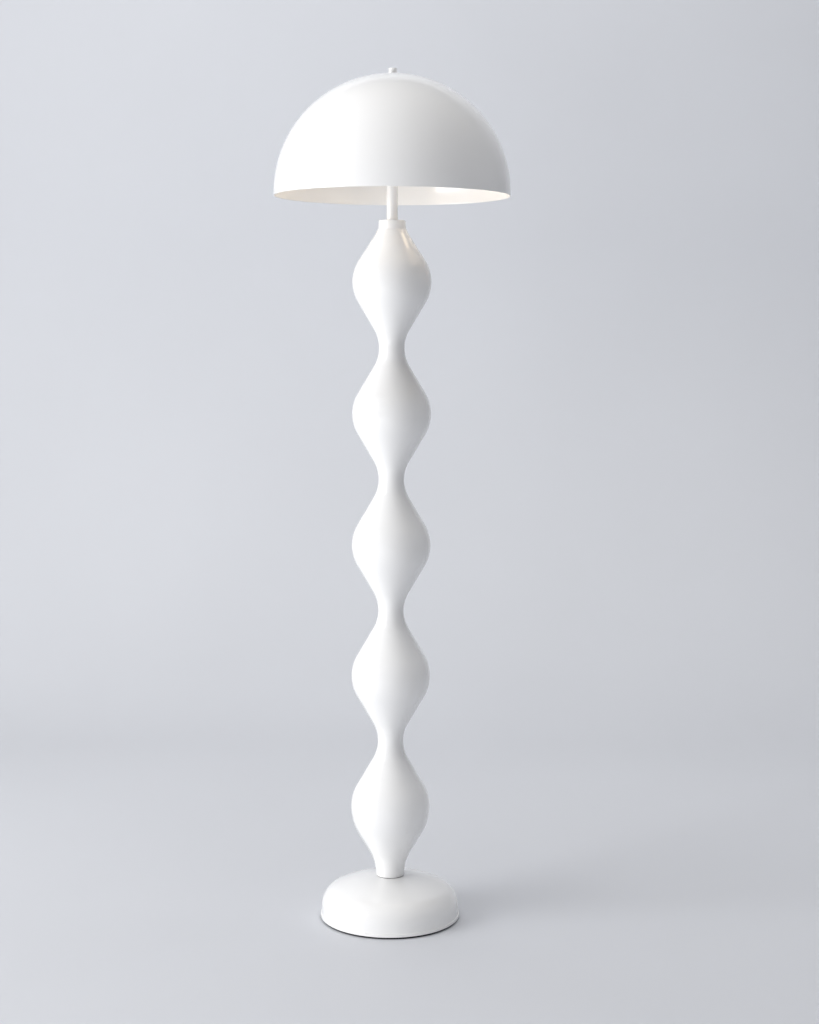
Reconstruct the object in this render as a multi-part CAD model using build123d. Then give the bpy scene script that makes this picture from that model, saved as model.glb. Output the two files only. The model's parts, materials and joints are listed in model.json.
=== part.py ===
from build123d import *

import os
from dataclasses import dataclass
from math import asin, atan2, cos, degrees, hypot, radians, sin, sqrt, tan

# Mushroom floor lamp, in millimetres. +Z is up, the floor is at z = 0 under the middle of the base,
# the front faces -Y and the cord bushing is at the back, towards +Y.

# ---------------------------------------------------------------- fits
TURNING_GAP = 0.05          # radial, round a shaft or thread that turns
PUSH_GAP = 0.1              # radial, round a fixed piece that is pushed into or over another
REST_GAP = 0.3              # between curved faces that move past each other
OVERCUT = 1.0               # how far a cut runs past the face that it opens

# ---------------------------------------------------------------- base
PAD_THICKNESS = 3.4
PAD_INSET = 2.5             # of the pad's edge, from the edge of the lip
PLATE_THICKNESS = 1.2
BASE_SIDE_RADIUS = 124.2
BASE_CROWN_HEIGHT = 74.3    # from the shell's lower edge to where its crown would meet the axis
BASE_SHOULDER_ARC = 37.0
BASE_WALL = 1.5
LIP_STEP = 2.0              # how far the rolled lip stands out
LIP_HEIGHT = 4.2
SEAT_BORDER = 2.2           # of the crown's flat, round the column's foot

BALLAST_ROOM = 7.7          # between the ballast and the side of the shell
BALLAST_HEIGHT = 28.0
BALLAST_BEVEL = 6.0
RECESS_ROOM = 3.0           # round the washer, in the recess for the locknut
RECESS_DEPTH = 40.0
HUB_WALL = 4.0              # round that recess
HUB_BORDER = 2.0            # of the crown's flat, round the hub
GROOVE_WIDTH = 12.0         # cord groove from the bushing to the recess
GROOVE_ROOM = 1.6           # above the cord in that groove
TERMINAL_SIZE = (22.0, 34.0, 12.0)
TERMINAL_START = 38.0       # from the axis to the terminal block
TERMINAL_ROOM = 2.0         # round the terminal block in its pocket
TERMINAL_DEPTH = 18.0       # depth of that pocket
WELL_RADIUS = 2.75          # screw wells of the terminal block
WELL_DEPTH = 4.8

SCREW_INSET = 20.0          # of the plate screws, from the ballast's edge
SCREW_COUNT = 3
SCREW_RADIUS = 2.0
SCREW_LENGTH = 14.0
SCREW_HEAD_RADIUS = 4.0
SCREW_HEAD_HEIGHT = 2.4
SCREW_HEAD_ROOM = 1.5       # round the head, in the pad

CORD_RADIUS = 3.6           # bore of the bushing
BUSHING_WALL = 1.1
BUSHING_FLANGE_STEP = 1.8   # how far the flange stands out from the neck
BUSHING_FLANGE_THICKNESS = 2.0
BUSHING_CATCH_STEP = 0.7    # how far the catch stands out from the neck
BUSHING_CATCH_GAP = 0.6     # between the catch and the shell's wall
BUSHING_TAIL_LENGTH = 3.5   # behind the catch
BUSHING_TAIL_TAPER = 0.5
BUSHING_ROOM = 6.6          # between the flange and the cove above the lip

# ---------------------------------------------------------------- column
BEAD_COUNT = 5
BEAD_PITCH = 237.9
BEAD_RADIUS = 71.4
COLUMN_WALL = 1.5
BEAD_SLOPE = 30.62          # of the straight part of a bead's side, in degrees from upright
BEAD_BULGE_SHARE = 0.539    # of the bulge in the radii of the bulge and the neck together
NECK_RADIUS = 23.15
FOOT_SLOPE = 31.49          # the lowest bead is fuller below its middle
FOOT_BULGE_SHARE = 0.541
FOOT_RADIUS = 25.8
FOOT_DROP = 124.8           # from the lowest bead's middle to where the foot runs straight
FOOT_STRAIGHT = 1.2
TOP_SLOPE = 32.85
TOP_BULGE_SHARE = 0.48
TOP_NECK_RADIUS = 20.4      # neck that the top flank runs towards
TOP_NECK_RISE = 124.3
TOP_RISE = 94.9             # from the top bead's middle to the collar
FOOT_GAP = 1.0              # shadow gap between the base and the foot
FOOT_SHOULDER = 0.8         # of the foot ring, under the wall of the foot
SPIGOT_HEIGHT = 10.0
NECK_RING_HEIGHT = 12.0
RING_BEVEL = 0.6

COLLAR_HEIGHT = 15.7
COLLAR_INSET = 1.1          # of its lower edge, from the top bead's edge
COLLAR_TAPER = 0.9
COLLAR_EDGE = 0.8
COLLAR_DECK = 8.0           # thickness of its top
COLLAR_SPIGOT = 6.0
COLLAR_SPIGOT_WALL = 2.4
STEM_SOCKET_DEPTH = 5.0

# ---------------------------------------------------------------- centre pipe, stem and cable
PIPE_RADIUS = 6.5
PIPE_BORE_RADIUS = 4.6
PIPE_TAIL = 2.0             # below the locknut
PIPE_HEAD = 3.0             # above the cluster nut
COUPLER_WALL = 3.0
COUPLER_LENGTH = 30.0
WASHER_RADIUS = 19.0
WASHER_THICKNESS = 2.0
LOCKNUT_FLATS = 24.0
LOCKNUT_THICKNESS = 6.0
STEM_RADIUS = 10.0
STEM_WALL = 1.5
STEM_VISIBLE = 43.0         # from the collar's top to the plane of the shade's rim
CABLE_RADIUS = 3.0
LEAD_RADIUS = 2.0
NUT_CHAMFER = 30.0          # of a nut's corners, in degrees from its faces

# ---------------------------------------------------------------- cluster
CLUSTER_RISE = 28.4         # its underside, above the plane of the shade's rim
CLUSTER_RADIUS = 24.0
CLUSTER_WALL = 2.0
CLUSTER_FLOOR = 4.0
CLUSTER_NUT_FLATS = 20.0
CLUSTER_NUT_THICKNESS = 6.0
CORNER_ROOM = 0.2           # between the round wall and the corners of what bolts to it
LID_THICKNESS = 3.0
LID_LIP_DEPTH = 3.0
LID_LIP_WALL = 2.0
EDGE_BEVEL = 1.0

SPLICE_SIZE = (20.0, 14.0, 18.0)
SPLICE_RISE = 5.0           # its underside, above the pipe's top
SPLICE_DROP = 1.0           # its middle, below the arms' axis
SPLICE_BACK = 4.0           # its back face, behind the axis

NIPPLE_RADIUS = 5.0
NIPPLE_BORE_RADIUS = 3.5
NIPPLE_INSIDE = 5.0         # inside the cluster's wall
NIPPLE_NUT_FLATS = 14.0
NIPPLE_NUT_THICKNESS = 3.0

SWITCH_WIDTH = 16.0
SWITCH_COLLAR_RADIUS = 6.5
SWITCH_COLLAR_LENGTH = 1.8
SWITCH_NECK_RADIUS = 4.9
SWITCH_NECK_OUTSIDE = 5.0
SWITCH_NUT_FLATS = 14.0
SWITCH_NUT_THICKNESS = 2.5
SWITCH_SHAFT_RADIUS = 2.0
SWITCH_SHAFT_LENGTH = 16.0
KNOB_RADIUS = 8.0
KNOB_LENGTH = 12.0
KNOB_GAP = 1.0
KNOB_FLUTES = 12
KNOB_FLUTE_RADIUS = 1.0

# ---------------------------------------------------------------- lampholders and bulbs, along the arm
HOLDER_GAP = 8.0            # between the cluster and the lampholder's back
HOLDER_LENGTH = 48.0
HOLDER_WALL = 4.4
HOLDER_BACK_RADIUS = 12.0
HOLDER_BACK_LENGTH = 9.0
HOLDER_BACK_BULGE = 1.7
HOLDER_FLOOR = 5.0
HOLDER_LIP = 1.0
HOLDER_LIP_LENGTH = 4.0
NIPPLE_IN_HOLDER = 6.0
INSULATOR_START = 12.0      # from the lampholder's back
INSULATOR_THICKNESS = 6.0
CONTACT_RADIUS = 4.0
CONTACT_HEIGHT = 2.5
LINER_RADIUS = 13.4         # inside of the threaded shell
LINER_WALL = 0.6
LINER_SETBACK = 2.0         # from the lampholder's mouth

BULB_CAP_ROOM = 0.35        # round the cap, in the liner
BULB_THREAD_PITCH = 3.6
BULB_THREAD_COUNT = 5
BULB_THREAD_DEPTH = 0.6
BULB_PIP_RADIUS = 4.5
BULB_PIP_HEIGHT = 1.4
BULB_CAP_TAPER = 3.0
BULB_CAP_OUTSIDE = 1.0      # proud of the lampholder's mouth
BULB_BODY_STEP = 1.35       # how far the body's base stands out from the cap
BULB_BODY_RADIUS = 24.0
BULB_BODY_LENGTH = 23.0
BULB_BODY_BULGE = 1.6
BULB_GLOBE_RADIUS = 30.0
BULB_GLOBE_TOUCH = -17.1    # where the straight side meets the globe, in degrees from its middle
BULB_GLASS = 1.2

# ---------------------------------------------------------------- shade and finial
SHADE_RADIUS = 213.2
SHADE_SKIRT = 6.2
SHADE_WALL = 1.5
CROWN_BORDER = 1.0          # of the crown's flat, round the seat's top
ROD_RADIUS = 3.0
ROD_IN_CLUSTER = 8.5        # below the lid's underside
ROD_ROOM = 1.5              # between the rod and the splice block
ROD_NUT_FLATS = 10.0
ROD_NUT_THICKNESS = 5.0
SEAT_TOP_RADIUS = 10.0
SEAT_RADIUS = 17.0
SEAT_SLOPE = 1.8
SEAT_EDGE = 1.5
SEAT_HUB_RADIUS = 8.0
SEAT_HEIGHT = 7.0
FINIAL_RADIUS = 7.5
FINIAL_HEIGHT = 9.5
FINIAL_EDGE = 1.2
FINIAL_WASHER_INSET = 1.1
FINIAL_WASHER_THICKNESS = 0.8
ROD_IN_FINIAL = 7.5
ROD_END_ROOM = 0.5          # above the rod, in the finial

# ---------------------------------------------------------------- radii and heights of the base that follow
pipe_hole = PIPE_RADIUS + PUSH_GAP
rod_hole = ROD_RADIUS + PUSH_GAP

base_inside = BASE_SIDE_RADIUS - BASE_WALL
lip_radius = BASE_SIDE_RADIUS + LIP_STEP
lip_top = PAD_THICKNESS + LIP_HEIGHT
plate_top = PAD_THICKNESS + PLATE_THICKNESS
ballast_radius = base_inside - BALLAST_ROOM
ballast_top = plate_top + BALLAST_HEIGHT
screw_circle = ballast_radius - SCREW_INSET
recess_radius = WASHER_RADIUS + RECESS_ROOM
hub_radius = recess_radius + HUB_WALL
seat_radius = max(FOOT_RADIUS + SEAT_BORDER, hub_radius + HUB_BORDER)

bushing_neck = CORD_RADIUS + BUSHING_WALL
bushing_flange = bushing_neck + BUSHING_FLANGE_STEP
bushing_z = lip_top + LIP_STEP + BUSHING_ROOM + bushing_flange
groove_top = bushing_z + CORD_RADIUS + GROOVE_ROOM

# The side is upright as far as the bushing's axis. The shoulder and the crown are tangent above it.
shoulder_z = bushing_z
shoulder_r = BASE_SIDE_RADIUS - BASE_SHOULDER_ARC
crown_top = PAD_THICKNESS + BASE_CROWN_HEIGHT
crown_rise = crown_top - shoulder_z
crown_arc = (shoulder_r**2 + crown_rise**2 - BASE_SHOULDER_ARC**2) / (2 * (crown_rise - BASE_SHOULDER_ARC))
crown_centre = crown_top - crown_arc

seat_z = crown_centre + sqrt(crown_arc**2 - seat_radius**2)
hub_top = seat_z - BASE_WALL
recess_top = plate_top + RECESS_DEPTH
washer_bottom = recess_top - WASHER_THICKNESS
locknut_bottom = washer_bottom - LOCKNUT_THICKNESS
pipe_bottom = locknut_bottom - PIPE_TAIL
terminal_top = plate_top + TERMINAL_DEPTH
cable_level = terminal_top - TERMINAL_SIZE[2] / 2

# ---------------------------------------------------------------- heights of the column and head that follow
foot_z = seat_z + FOOT_GAP
first_bead_z = foot_z + FOOT_STRAIGHT + FOOT_DROP
bead_z = [first_bead_z + number * BEAD_PITCH for number in range(BEAD_COUNT)]
neck_z = [z + BEAD_PITCH / 2 for z in bead_z[:-1]]
collar_z = bead_z[-1] + TOP_RISE
collar_top = collar_z + COLLAR_HEIGHT
coupler_z = bead_z[BEAD_COUNT // 2]

rim_z = collar_top + STEM_VISIBLE
cluster_z = rim_z + CLUSTER_RISE
cluster_inside = CLUSTER_RADIUS - CLUSTER_WALL
cluster_floor_z = cluster_z + CLUSTER_FLOOR
pipe_top = cluster_floor_z + CLUSTER_NUT_THICKNESS + PIPE_HEAD
splice_z = pipe_top + SPLICE_RISE
splice_top = splice_z + SPLICE_SIZE[2]
arm_z = (splice_z + splice_top) / 2 + SPLICE_DROP
rod_bottom = splice_top + ROD_ROOM
cluster_top = rod_bottom + ROD_IN_CLUSTER
lid_top = cluster_top + LID_THICKNESS

shade_inside = SHADE_RADIUS - SHADE_WALL
shade_centre = rim_z + SHADE_SKIRT
crown_flat = SEAT_TOP_RADIUS + CROWN_BORDER
crown_hole = ROD_RADIUS + REST_GAP
crown_z = shade_centre + sqrt(SHADE_RADIUS**2 - crown_flat**2)
crown_inside = crown_z - SHADE_WALL
seat_bottom = crown_inside - SEAT_HEIGHT
finial_z = crown_z + FINIAL_WASHER_THICKNESS
finial_top = finial_z + FINIAL_HEIGHT
rod_top = finial_z + ROD_IN_FINIAL

# ---------------------------------------------------------------- places along an arm that follow
holder_start = CLUSTER_RADIUS + HOLDER_GAP
holder_end = holder_start + HOLDER_LENGTH
holder_bore = LINER_RADIUS + LINER_WALL + PUSH_GAP
holder_radius = holder_bore + HOLDER_WALL
insulator_back = holder_start + INSULATOR_START
insulator_front = insulator_back + INSULATOR_THICKNESS
cap_radius = LINER_RADIUS - BULB_CAP_ROOM
pip_start = insulator_front + CONTACT_HEIGHT + REST_GAP
cap_start = pip_start + BULB_PIP_HEIGHT
body_start = holder_end + BULB_CAP_OUTSIDE
body_end = body_start + BULB_BODY_LENGTH
touch = radians(BULB_GLOBE_TOUCH)
globe_reach = (BULB_BODY_RADIUS * cos(touch) - BULB_GLOBE_RADIUS) / sin(touch)
globe_centre = body_end + globe_reach


def inside_reach(half_width):
    """How far out along an arm a piece of that half width stays clear of the cluster's round wall."""
    return sqrt((cluster_inside - CORNER_ROOM)**2 - half_width**2)


# ---------------------------------------------------------------- drawing helpers
def point(radius, height):
    """A point of an outline: its distance from the axis and its height."""
    return Vector(radius, 0, height)


def line(start, end):
    """Straight run between two (radius, height) pairs."""
    return Line(point(*start), point(*end))


def arc(centre, radius, start, end):
    """Arc about a (radius, height) centre, between two angles in degrees from the outward direction."""
    def at(angle):
        return (centre[0] + radius * cos(radians(angle)), centre[1] + radius * sin(radians(angle)))
    return ThreePointArc(point(*at(start)), point(*at((start + end) / 2)), point(*at(end)))


def bulged(start, end, bulge):
    """Arc between two (radius, height) pairs that stands out from its chord by the bulge."""
    across, along = end[0] - start[0], end[1] - start[1]
    chord = hypot(across, along)
    middle = point((start[0] + end[0]) / 2 + bulge * along / chord,
                   (start[1] + end[1]) / 2 - bulge * across / chord)
    return ThreePointArc(point(*start), middle, point(*end))


def turned(*edges):
    """Solid turned about the Z axis from the closed outline that the edges make."""
    return revolve(make_face(edges), Axis.Z)


def turned_polygon(*corners):
    """Solid turned about the Z axis from the corners of an outline."""
    return turned(*[line(a, b) for a, b in zip(corners, corners[1:] + corners[:1])])


def disc(radius, bottom, top):
    """Upright cylinder on the axis."""
    return Pos(0, 0, (bottom + top) / 2) * Cylinder(radius, top - bottom)


def tube(outside, inside, bottom, top):
    """Upright tube on the axis."""
    return turned_polygon((inside, bottom), (outside, bottom), (outside, top), (inside, top))


def block(x_range, y_range, z_range):
    """Box between two corners, given as a pair of values along each axis."""
    sizes = [high - low for low, high in (x_range, y_range, z_range)]
    middle = [(high + low) / 2 for low, high in (x_range, y_range, z_range)]
    return Pos(*middle) * Box(*sizes)


def corner_radius(flats):
    """Distance from a hexagon's middle to its corners."""
    return flats / 2 / cos(radians(30))


def hex_nut(flats, bore, bottom, top):
    """Hexagonal nut on the axis, with its corners turned off at both faces."""
    corner = corner_radius(flats)
    edge = (corner - flats / 2) * tan(radians(NUT_CHAMFER))
    prism = Pos(0, 0, bottom) * extrude(RegularPolygon(corner, 6), top - bottom)
    turned_off = turned_polygon(
        (bore, bottom), (flats / 2, bottom), (corner, bottom + edge),
        (corner, top - edge), (flats / 2, top), (bore, top),
    )
    return prism & turned_off


def towards_back(solid):
    """Turns a piece from along +Z to along +Y."""
    return Rot(-90, 0, 0) * solid


def on_switch_axis(solid):
    """Lays a piece that runs along +Z onto the switch's axis, towards the back."""
    return Pos(0, 0, arm_z) * towards_back(solid)


def along_arm(solid, side):
    """Lays a piece that runs along +Z onto an arm: side is 1 for the right arm and -1 for the left."""
    return Pos(0, 0, arm_z) * (Rot(0, 90 * side, 0) * solid)


# ---------------------------------------------------------------- outline of a bead
@dataclass(frozen=True)
class Flank:
    """One side of a bead, from its middle to its neck: a bulge arc, a straight tangent and a neck arc.

    A flank that is cut off before its neck ends on the neck arc or, where that is short, on the tangent."""
    slope: float         # of the tangent, in degrees from upright
    bulge_share: float   # of the bulge arc in the two radii together
    neck_radius: float
    neck_rise: float     # from the bead's middle to the neck
    end_rise: float      # from the bead's middle to the end of the flank

    def arcs(self):
        """Radii of the bulge arc and the neck arc that the tangent of this slope touches."""
        out, up = cos(radians(self.slope)), sin(radians(self.slope))
        both = (self.neck_rise * up - (BEAD_RADIUS - self.neck_radius) * out) / (1 - out)
        return self.bulge_share * both, (1 - self.bulge_share) * both

    def ends_on_tangent(self, depth):
        """Whether the flank is cut off before it reaches its neck arc."""
        return self.neck_rise - self.end_rise >= (self.arcs()[1] + depth) * sin(radians(self.slope))

    def end_angle(self, depth):
        """Angle on the neck arc at which the flank ends, in degrees."""
        left = max(self.neck_rise - self.end_rise, 0.0)
        return degrees(asin(left / (self.arcs()[1] + depth)))

    def end_radius(self, depth):
        """Distance from the axis at the end of the flank."""
        bulge_arc, neck_arc = self.arcs()
        if self.ends_on_tangent(depth):
            out, up = cos(radians(self.slope)), sin(radians(self.slope))
            touch_radius = BEAD_RADIUS - bulge_arc + (bulge_arc - depth) * out
            return touch_radius - (self.end_rise - (bulge_arc - depth) * up) * up / out
        return self.neck_radius + neck_arc - (neck_arc + depth) * cos(radians(self.end_angle(depth)))

    def edges(self, middle, way, depth):
        """Edges from the bead's middle to the flank's end, depth below the painted surface.

        way is 1 for the upper side and -1 for the lower one."""
        bulge_arc, neck_arc = self.arcs()
        out, up = cos(radians(self.slope)), sin(radians(self.slope))
        bulge_radius, neck_radius = bulge_arc - depth, neck_arc + depth
        bulge_at = (BEAD_RADIUS - bulge_arc, middle)
        neck_at = (self.neck_radius + neck_arc, middle + way * self.neck_rise)
        tangent_start = (bulge_at[0] + bulge_radius * out, middle + way * bulge_radius * up)
        bulge = arc(bulge_at, bulge_radius, 0, way * self.slope)
        end = (self.end_radius(depth), middle + way * self.end_rise)
        if self.ends_on_tangent(depth):
            return [bulge, line(tangent_start, end)]
        tangent_end = (neck_at[0] - neck_radius * out, neck_at[1] - way * neck_radius * up)
        last = self.end_angle(depth)
        neck = arc(neck_at, neck_radius, 180 + way * self.slope, 180 + way * last)
        run = [bulge, line(tangent_start, tangent_end), neck]
        if self.end_rise > self.neck_rise:
            run.append(line((end[0], neck_at[1]), end))
        return run


neck_flank = Flank(BEAD_SLOPE, BEAD_BULGE_SHARE, NECK_RADIUS, BEAD_PITCH / 2, BEAD_PITCH / 2)
foot_flank = Flank(FOOT_SLOPE, FOOT_BULGE_SHARE, FOOT_RADIUS, FOOT_DROP, FOOT_DROP + FOOT_STRAIGHT)
top_flank = Flank(TOP_SLOPE, TOP_BULGE_SHARE, TOP_NECK_RADIUS, TOP_NECK_RISE, TOP_RISE)


# ---------------------------------------------------------------- base
def screw_places():
    """Where the plate screws are; the cord groove at the back lies between two of them."""
    return [Pos(screw_circle * cos(radians(turn)), screw_circle * sin(radians(turn)), 0)
            for turn in (270 + number * 360 / SCREW_COUNT for number in range(SCREW_COUNT))]


def foot_pad():
    """Soft pad under the base, with room for the screw heads."""
    pad = disc(lip_radius - PAD_INSET, 0, PAD_THICKNESS)
    for place in screw_places():
        pad -= place * disc(SCREW_HEAD_RADIUS + SCREW_HEAD_ROOM, -OVERCUT, PAD_THICKNESS + OVERCUT)
    return pad


def base_plate():
    """Steel plate that closes the base."""
    plate = disc(base_inside - PUSH_GAP, PAD_THICKNESS, plate_top)
    for place in screw_places():
        plate -= place * disc(SCREW_RADIUS + PUSH_GAP, PAD_THICKNESS - OVERCUT, plate_top + OVERCUT)
    return plate


def plate_screws():
    """The pan-head screws, from below through the plate into the ballast."""
    head_bottom = PAD_THICKNESS - SCREW_HEAD_HEIGHT
    edge = SCREW_HEAD_HEIGHT / 3
    screw = turned_polygon(
        (0, head_bottom), (SCREW_HEAD_RADIUS - edge, head_bottom), (SCREW_HEAD_RADIUS, head_bottom + edge),
        (SCREW_HEAD_RADIUS, PAD_THICKNESS), (SCREW_RADIUS, PAD_THICKNESS),
        (SCREW_RADIUS, PAD_THICKNESS + SCREW_LENGTH), (0, PAD_THICKNESS + SCREW_LENGTH),
    )
    slot = block((-SCREW_HEAD_RADIUS, SCREW_HEAD_RADIUS), (-edge / 2, edge / 2),
                 (head_bottom - OVERCUT, head_bottom + edge))
    return [place * (screw - slot) for place in screw_places()]


def ballast_weight():
    """Cast weight with a hub up to the crown, a recess for the locknut and a way for the cord."""
    weight = turned_polygon(
        (pipe_hole, recess_top), (recess_radius, recess_top), (recess_radius, plate_top),
        (ballast_radius, plate_top), (ballast_radius, ballast_top - BALLAST_BEVEL),
        (ballast_radius - BALLAST_BEVEL, ballast_top), (hub_radius, ballast_top), (hub_radius, hub_top),
        (pipe_hole, hub_top),
    )
    half_width = TERMINAL_SIZE[0] / 2 + TERMINAL_ROOM
    weight -= block((-GROOVE_WIDTH / 2, GROOVE_WIDTH / 2), (0, ballast_radius + OVERCUT),
                    (plate_top - OVERCUT, groove_top))
    weight -= block((-half_width, half_width),
                    (TERMINAL_START - TERMINAL_ROOM, TERMINAL_START + TERMINAL_SIZE[1] + TERMINAL_ROOM),
                    (plate_top - OVERCUT, terminal_top))
    for place in screw_places():
        weight -= place * disc(SCREW_RADIUS + TURNING_GAP, plate_top - OVERCUT,
                               PAD_THICKNESS + SCREW_LENGTH + OVERCUT)
    return weight


def base_shell():
    """Thin spun shell: a crown, a round shoulder, a short upright side and a rolled lip."""
    turn = degrees(atan2(shoulder_z - crown_centre, shoulder_r))
    half_step = LIP_STEP / 2
    edge = BASE_WALL / 2

    def flat_angle(depth, flat_z):
        """Angle on the crown at which its flat begins, in degrees."""
        return degrees(asin((flat_z - crown_centre) / (crown_arc - depth)))

    def flat_edge(depth, flat_z):
        """Where the flat meets the crown."""
        return ((crown_arc - depth) * cos(radians(flat_angle(depth, flat_z))), flat_z)

    def skin(depth, flat_z):
        """Crown and shoulder, from the flat down to the upright side."""
        return [
            arc((0, crown_centre), crown_arc - depth, flat_angle(depth, flat_z), turn),
            arc((shoulder_r, shoulder_z), BASE_SHOULDER_ARC - depth, turn, 0),
        ]

    shell = turned(
        line((pipe_hole, seat_z), flat_edge(0, seat_z)), *skin(0, seat_z),
        line((BASE_SIDE_RADIUS, shoulder_z), (BASE_SIDE_RADIUS, lip_top + LIP_STEP)),
        arc((BASE_SIDE_RADIUS + half_step, lip_top + LIP_STEP), half_step, 180, 270),
        arc((BASE_SIDE_RADIUS + half_step, lip_top), half_step, 90, 0),
        line((lip_radius, lip_top), (lip_radius, PAD_THICKNESS + edge)),
        arc((lip_radius - edge, PAD_THICKNESS + edge), edge, 0, -90),
        line((lip_radius - edge, PAD_THICKNESS), (base_inside, PAD_THICKNESS)),
        line((base_inside, PAD_THICKNESS), (base_inside, shoulder_z)), *skin(BASE_WALL, hub_top),
        line(flat_edge(BASE_WALL, hub_top), (pipe_hole, hub_top)),
        line((pipe_hole, hub_top), (pipe_hole, seat_z)),
    )
    hole = towards_back(disc(bushing_neck + PUSH_GAP, ballast_radius, lip_radius))
    return shell - Pos(0, 0, bushing_z) * hole


def cord_bushing():
    """Snap-in bushing at the back of the shell, with a bore for the cord."""
    flange_start = BASE_SIDE_RADIUS + PUSH_GAP
    flange_end = flange_start + BUSHING_FLANGE_THICKNESS
    catch_start = base_inside - BUSHING_CATCH_GAP
    tail_end = catch_start - BUSHING_TAIL_LENGTH
    bevel = BUSHING_FLANGE_THICKNESS / 3
    bushing = turned_polygon(
        (CORD_RADIUS, tail_end), (bushing_neck - BUSHING_TAIL_TAPER, tail_end),
        (bushing_neck + BUSHING_CATCH_STEP, catch_start), (bushing_neck, catch_start),
        (bushing_neck, flange_start), (bushing_flange, flange_start), (bushing_flange, flange_end - bevel),
        (bushing_flange - bevel, flange_end), (CORD_RADIUS, flange_end),
    )
    return Pos(0, 0, bushing_z) * towards_back(bushing)


def terminal_block():
    """Block in the ballast's pocket where the supply cord would be joined to the lamp cable."""
    width, length, height = TERMINAL_SIZE
    bottom = terminal_top - height
    body = block((-width / 2, width / 2), (TERMINAL_START, TERMINAL_START + length), (bottom, terminal_top))
    for side in (-1, 1):
        for end in (-1, 1):
            well = disc(WELL_RADIUS, bottom - OVERCUT, bottom + WELL_DEPTH)
            body -= Pos(side * width / 4, TERMINAL_START + length / 2 + end * length / 4, 0) * well
    return body


def pipe_washer():
    """Washer between the locknut and the ballast's hub."""
    return tube(WASHER_RADIUS, pipe_hole, washer_bottom, recess_top)


def pipe_locknut():
    """Nut at the bottom of the centre pipe; it clamps the base and the column together."""
    return hex_nut(LOCKNUT_FLATS, PIPE_RADIUS + TURNING_GAP, locknut_bottom, washer_bottom)


# ---------------------------------------------------------------- column
def foot_ring():
    """Ring that centres the column's foot on the pipe; its edge is the thin dark joint."""
    spigot_radius = FOOT_RADIUS - COLUMN_WALL - PUSH_GAP
    edge_radius = spigot_radius + FOOT_SHOULDER
    spigot_top = foot_z + SPIGOT_HEIGHT
    return turned_polygon(
        (pipe_hole, seat_z), (edge_radius, seat_z), (edge_radius, foot_z), (spigot_radius, foot_z),
        (spigot_radius, spigot_top - RING_BEVEL), (spigot_radius - RING_BEVEL, spigot_top),
        (pipe_hole, spigot_top),
    )


def column_section(number):
    """One hollow bead of the column, from neck to neck; number counts from 0 at the floor."""
    below = foot_flank if number == 0 else neck_flank
    above = top_flank if number == BEAD_COUNT - 1 else neck_flank
    middle = bead_z[number]
    edges = []
    for depth in (0, COLUMN_WALL):
        edges += below.edges(middle, -1, depth) + above.edges(middle, 1, depth)
    for flank, way in ((below, -1), (above, 1)):
        height = middle + way * flank.end_rise
        edges.append(line((flank.end_radius(0), height), (flank.end_radius(COLUMN_WALL), height)))
    return turned(*edges)


def neck_ring(number):
    """Ring inside a neck that centres two sections on the pipe."""
    radius = NECK_RADIUS - COLUMN_WALL - PUSH_GAP
    bottom, top = neck_z[number] - NECK_RING_HEIGHT / 2, neck_z[number] + NECK_RING_HEIGHT / 2
    return turned_polygon(
        (pipe_hole, bottom), (radius - RING_BEVEL, bottom), (radius, bottom + RING_BEVEL),
        (radius, top - RING_BEVEL), (radius - RING_BEVEL, top), (pipe_hole, top),
    )


def collar_cap():
    """Short collar that closes the column and holds the foot of the stem."""
    spigot_radius = top_flank.end_radius(COLUMN_WALL) - PUSH_GAP
    inside = spigot_radius - COLLAR_SPIGOT_WALL
    bottom_radius = top_flank.end_radius(0) - COLLAR_INSET
    top_radius = bottom_radius - COLLAR_TAPER
    deck = collar_top - COLLAR_DECK
    socket_bottom = collar_top - STEM_SOCKET_DEPTH
    socket_radius = STEM_RADIUS + PUSH_GAP
    return turned_polygon(
        (pipe_hole, deck), (inside, deck), (inside, collar_z - COLLAR_SPIGOT),
        (spigot_radius, collar_z - COLLAR_SPIGOT), (spigot_radius, collar_z),
        (bottom_radius, collar_z), (top_radius, collar_top - COLLAR_EDGE),
        (top_radius - COLLAR_EDGE, collar_top), (socket_radius, collar_top),
        (socket_radius, socket_bottom), (pipe_hole, socket_bottom),
    )


def centre_pipe(bottom, top):
    """A length of the threaded pipe that clamps the lamp together and carries the cable."""
    return tube(PIPE_RADIUS, PIPE_BORE_RADIUS, bottom, top)


def pipe_coupler():
    """Sleeve that joins the two lengths of pipe."""
    bottom, top = coupler_z - COUPLER_LENGTH / 2, coupler_z + COUPLER_LENGTH / 2
    bore = PIPE_RADIUS + TURNING_GAP
    outside = PIPE_RADIUS + COUPLER_WALL
    return turned_polygon(
        (bore, bottom), (outside - EDGE_BEVEL, bottom), (outside, bottom + EDGE_BEVEL),
        (outside, top - EDGE_BEVEL), (outside - EDGE_BEVEL, top), (bore, top),
    )


def stem_tube():
    """Slim painted tube from the collar up to the cluster."""
    return tube(STEM_RADIUS, STEM_RADIUS - STEM_WALL, collar_top - STEM_SOCKET_DEPTH, cluster_z)


def lamp_cable():
    """Cable from the terminal block, round one bend and up the pipe to the splice block."""
    path = FilletPolyline(
        (0, TERMINAL_START, cable_level), (0, 0, cable_level), (0, 0, splice_z),
        radius=pipe_bottom - cable_level,
    )
    section = Plane(origin=path @ 0, z_dir=path % 0) * Circle(CABLE_RADIUS)
    return sweep(section, path)


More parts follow.
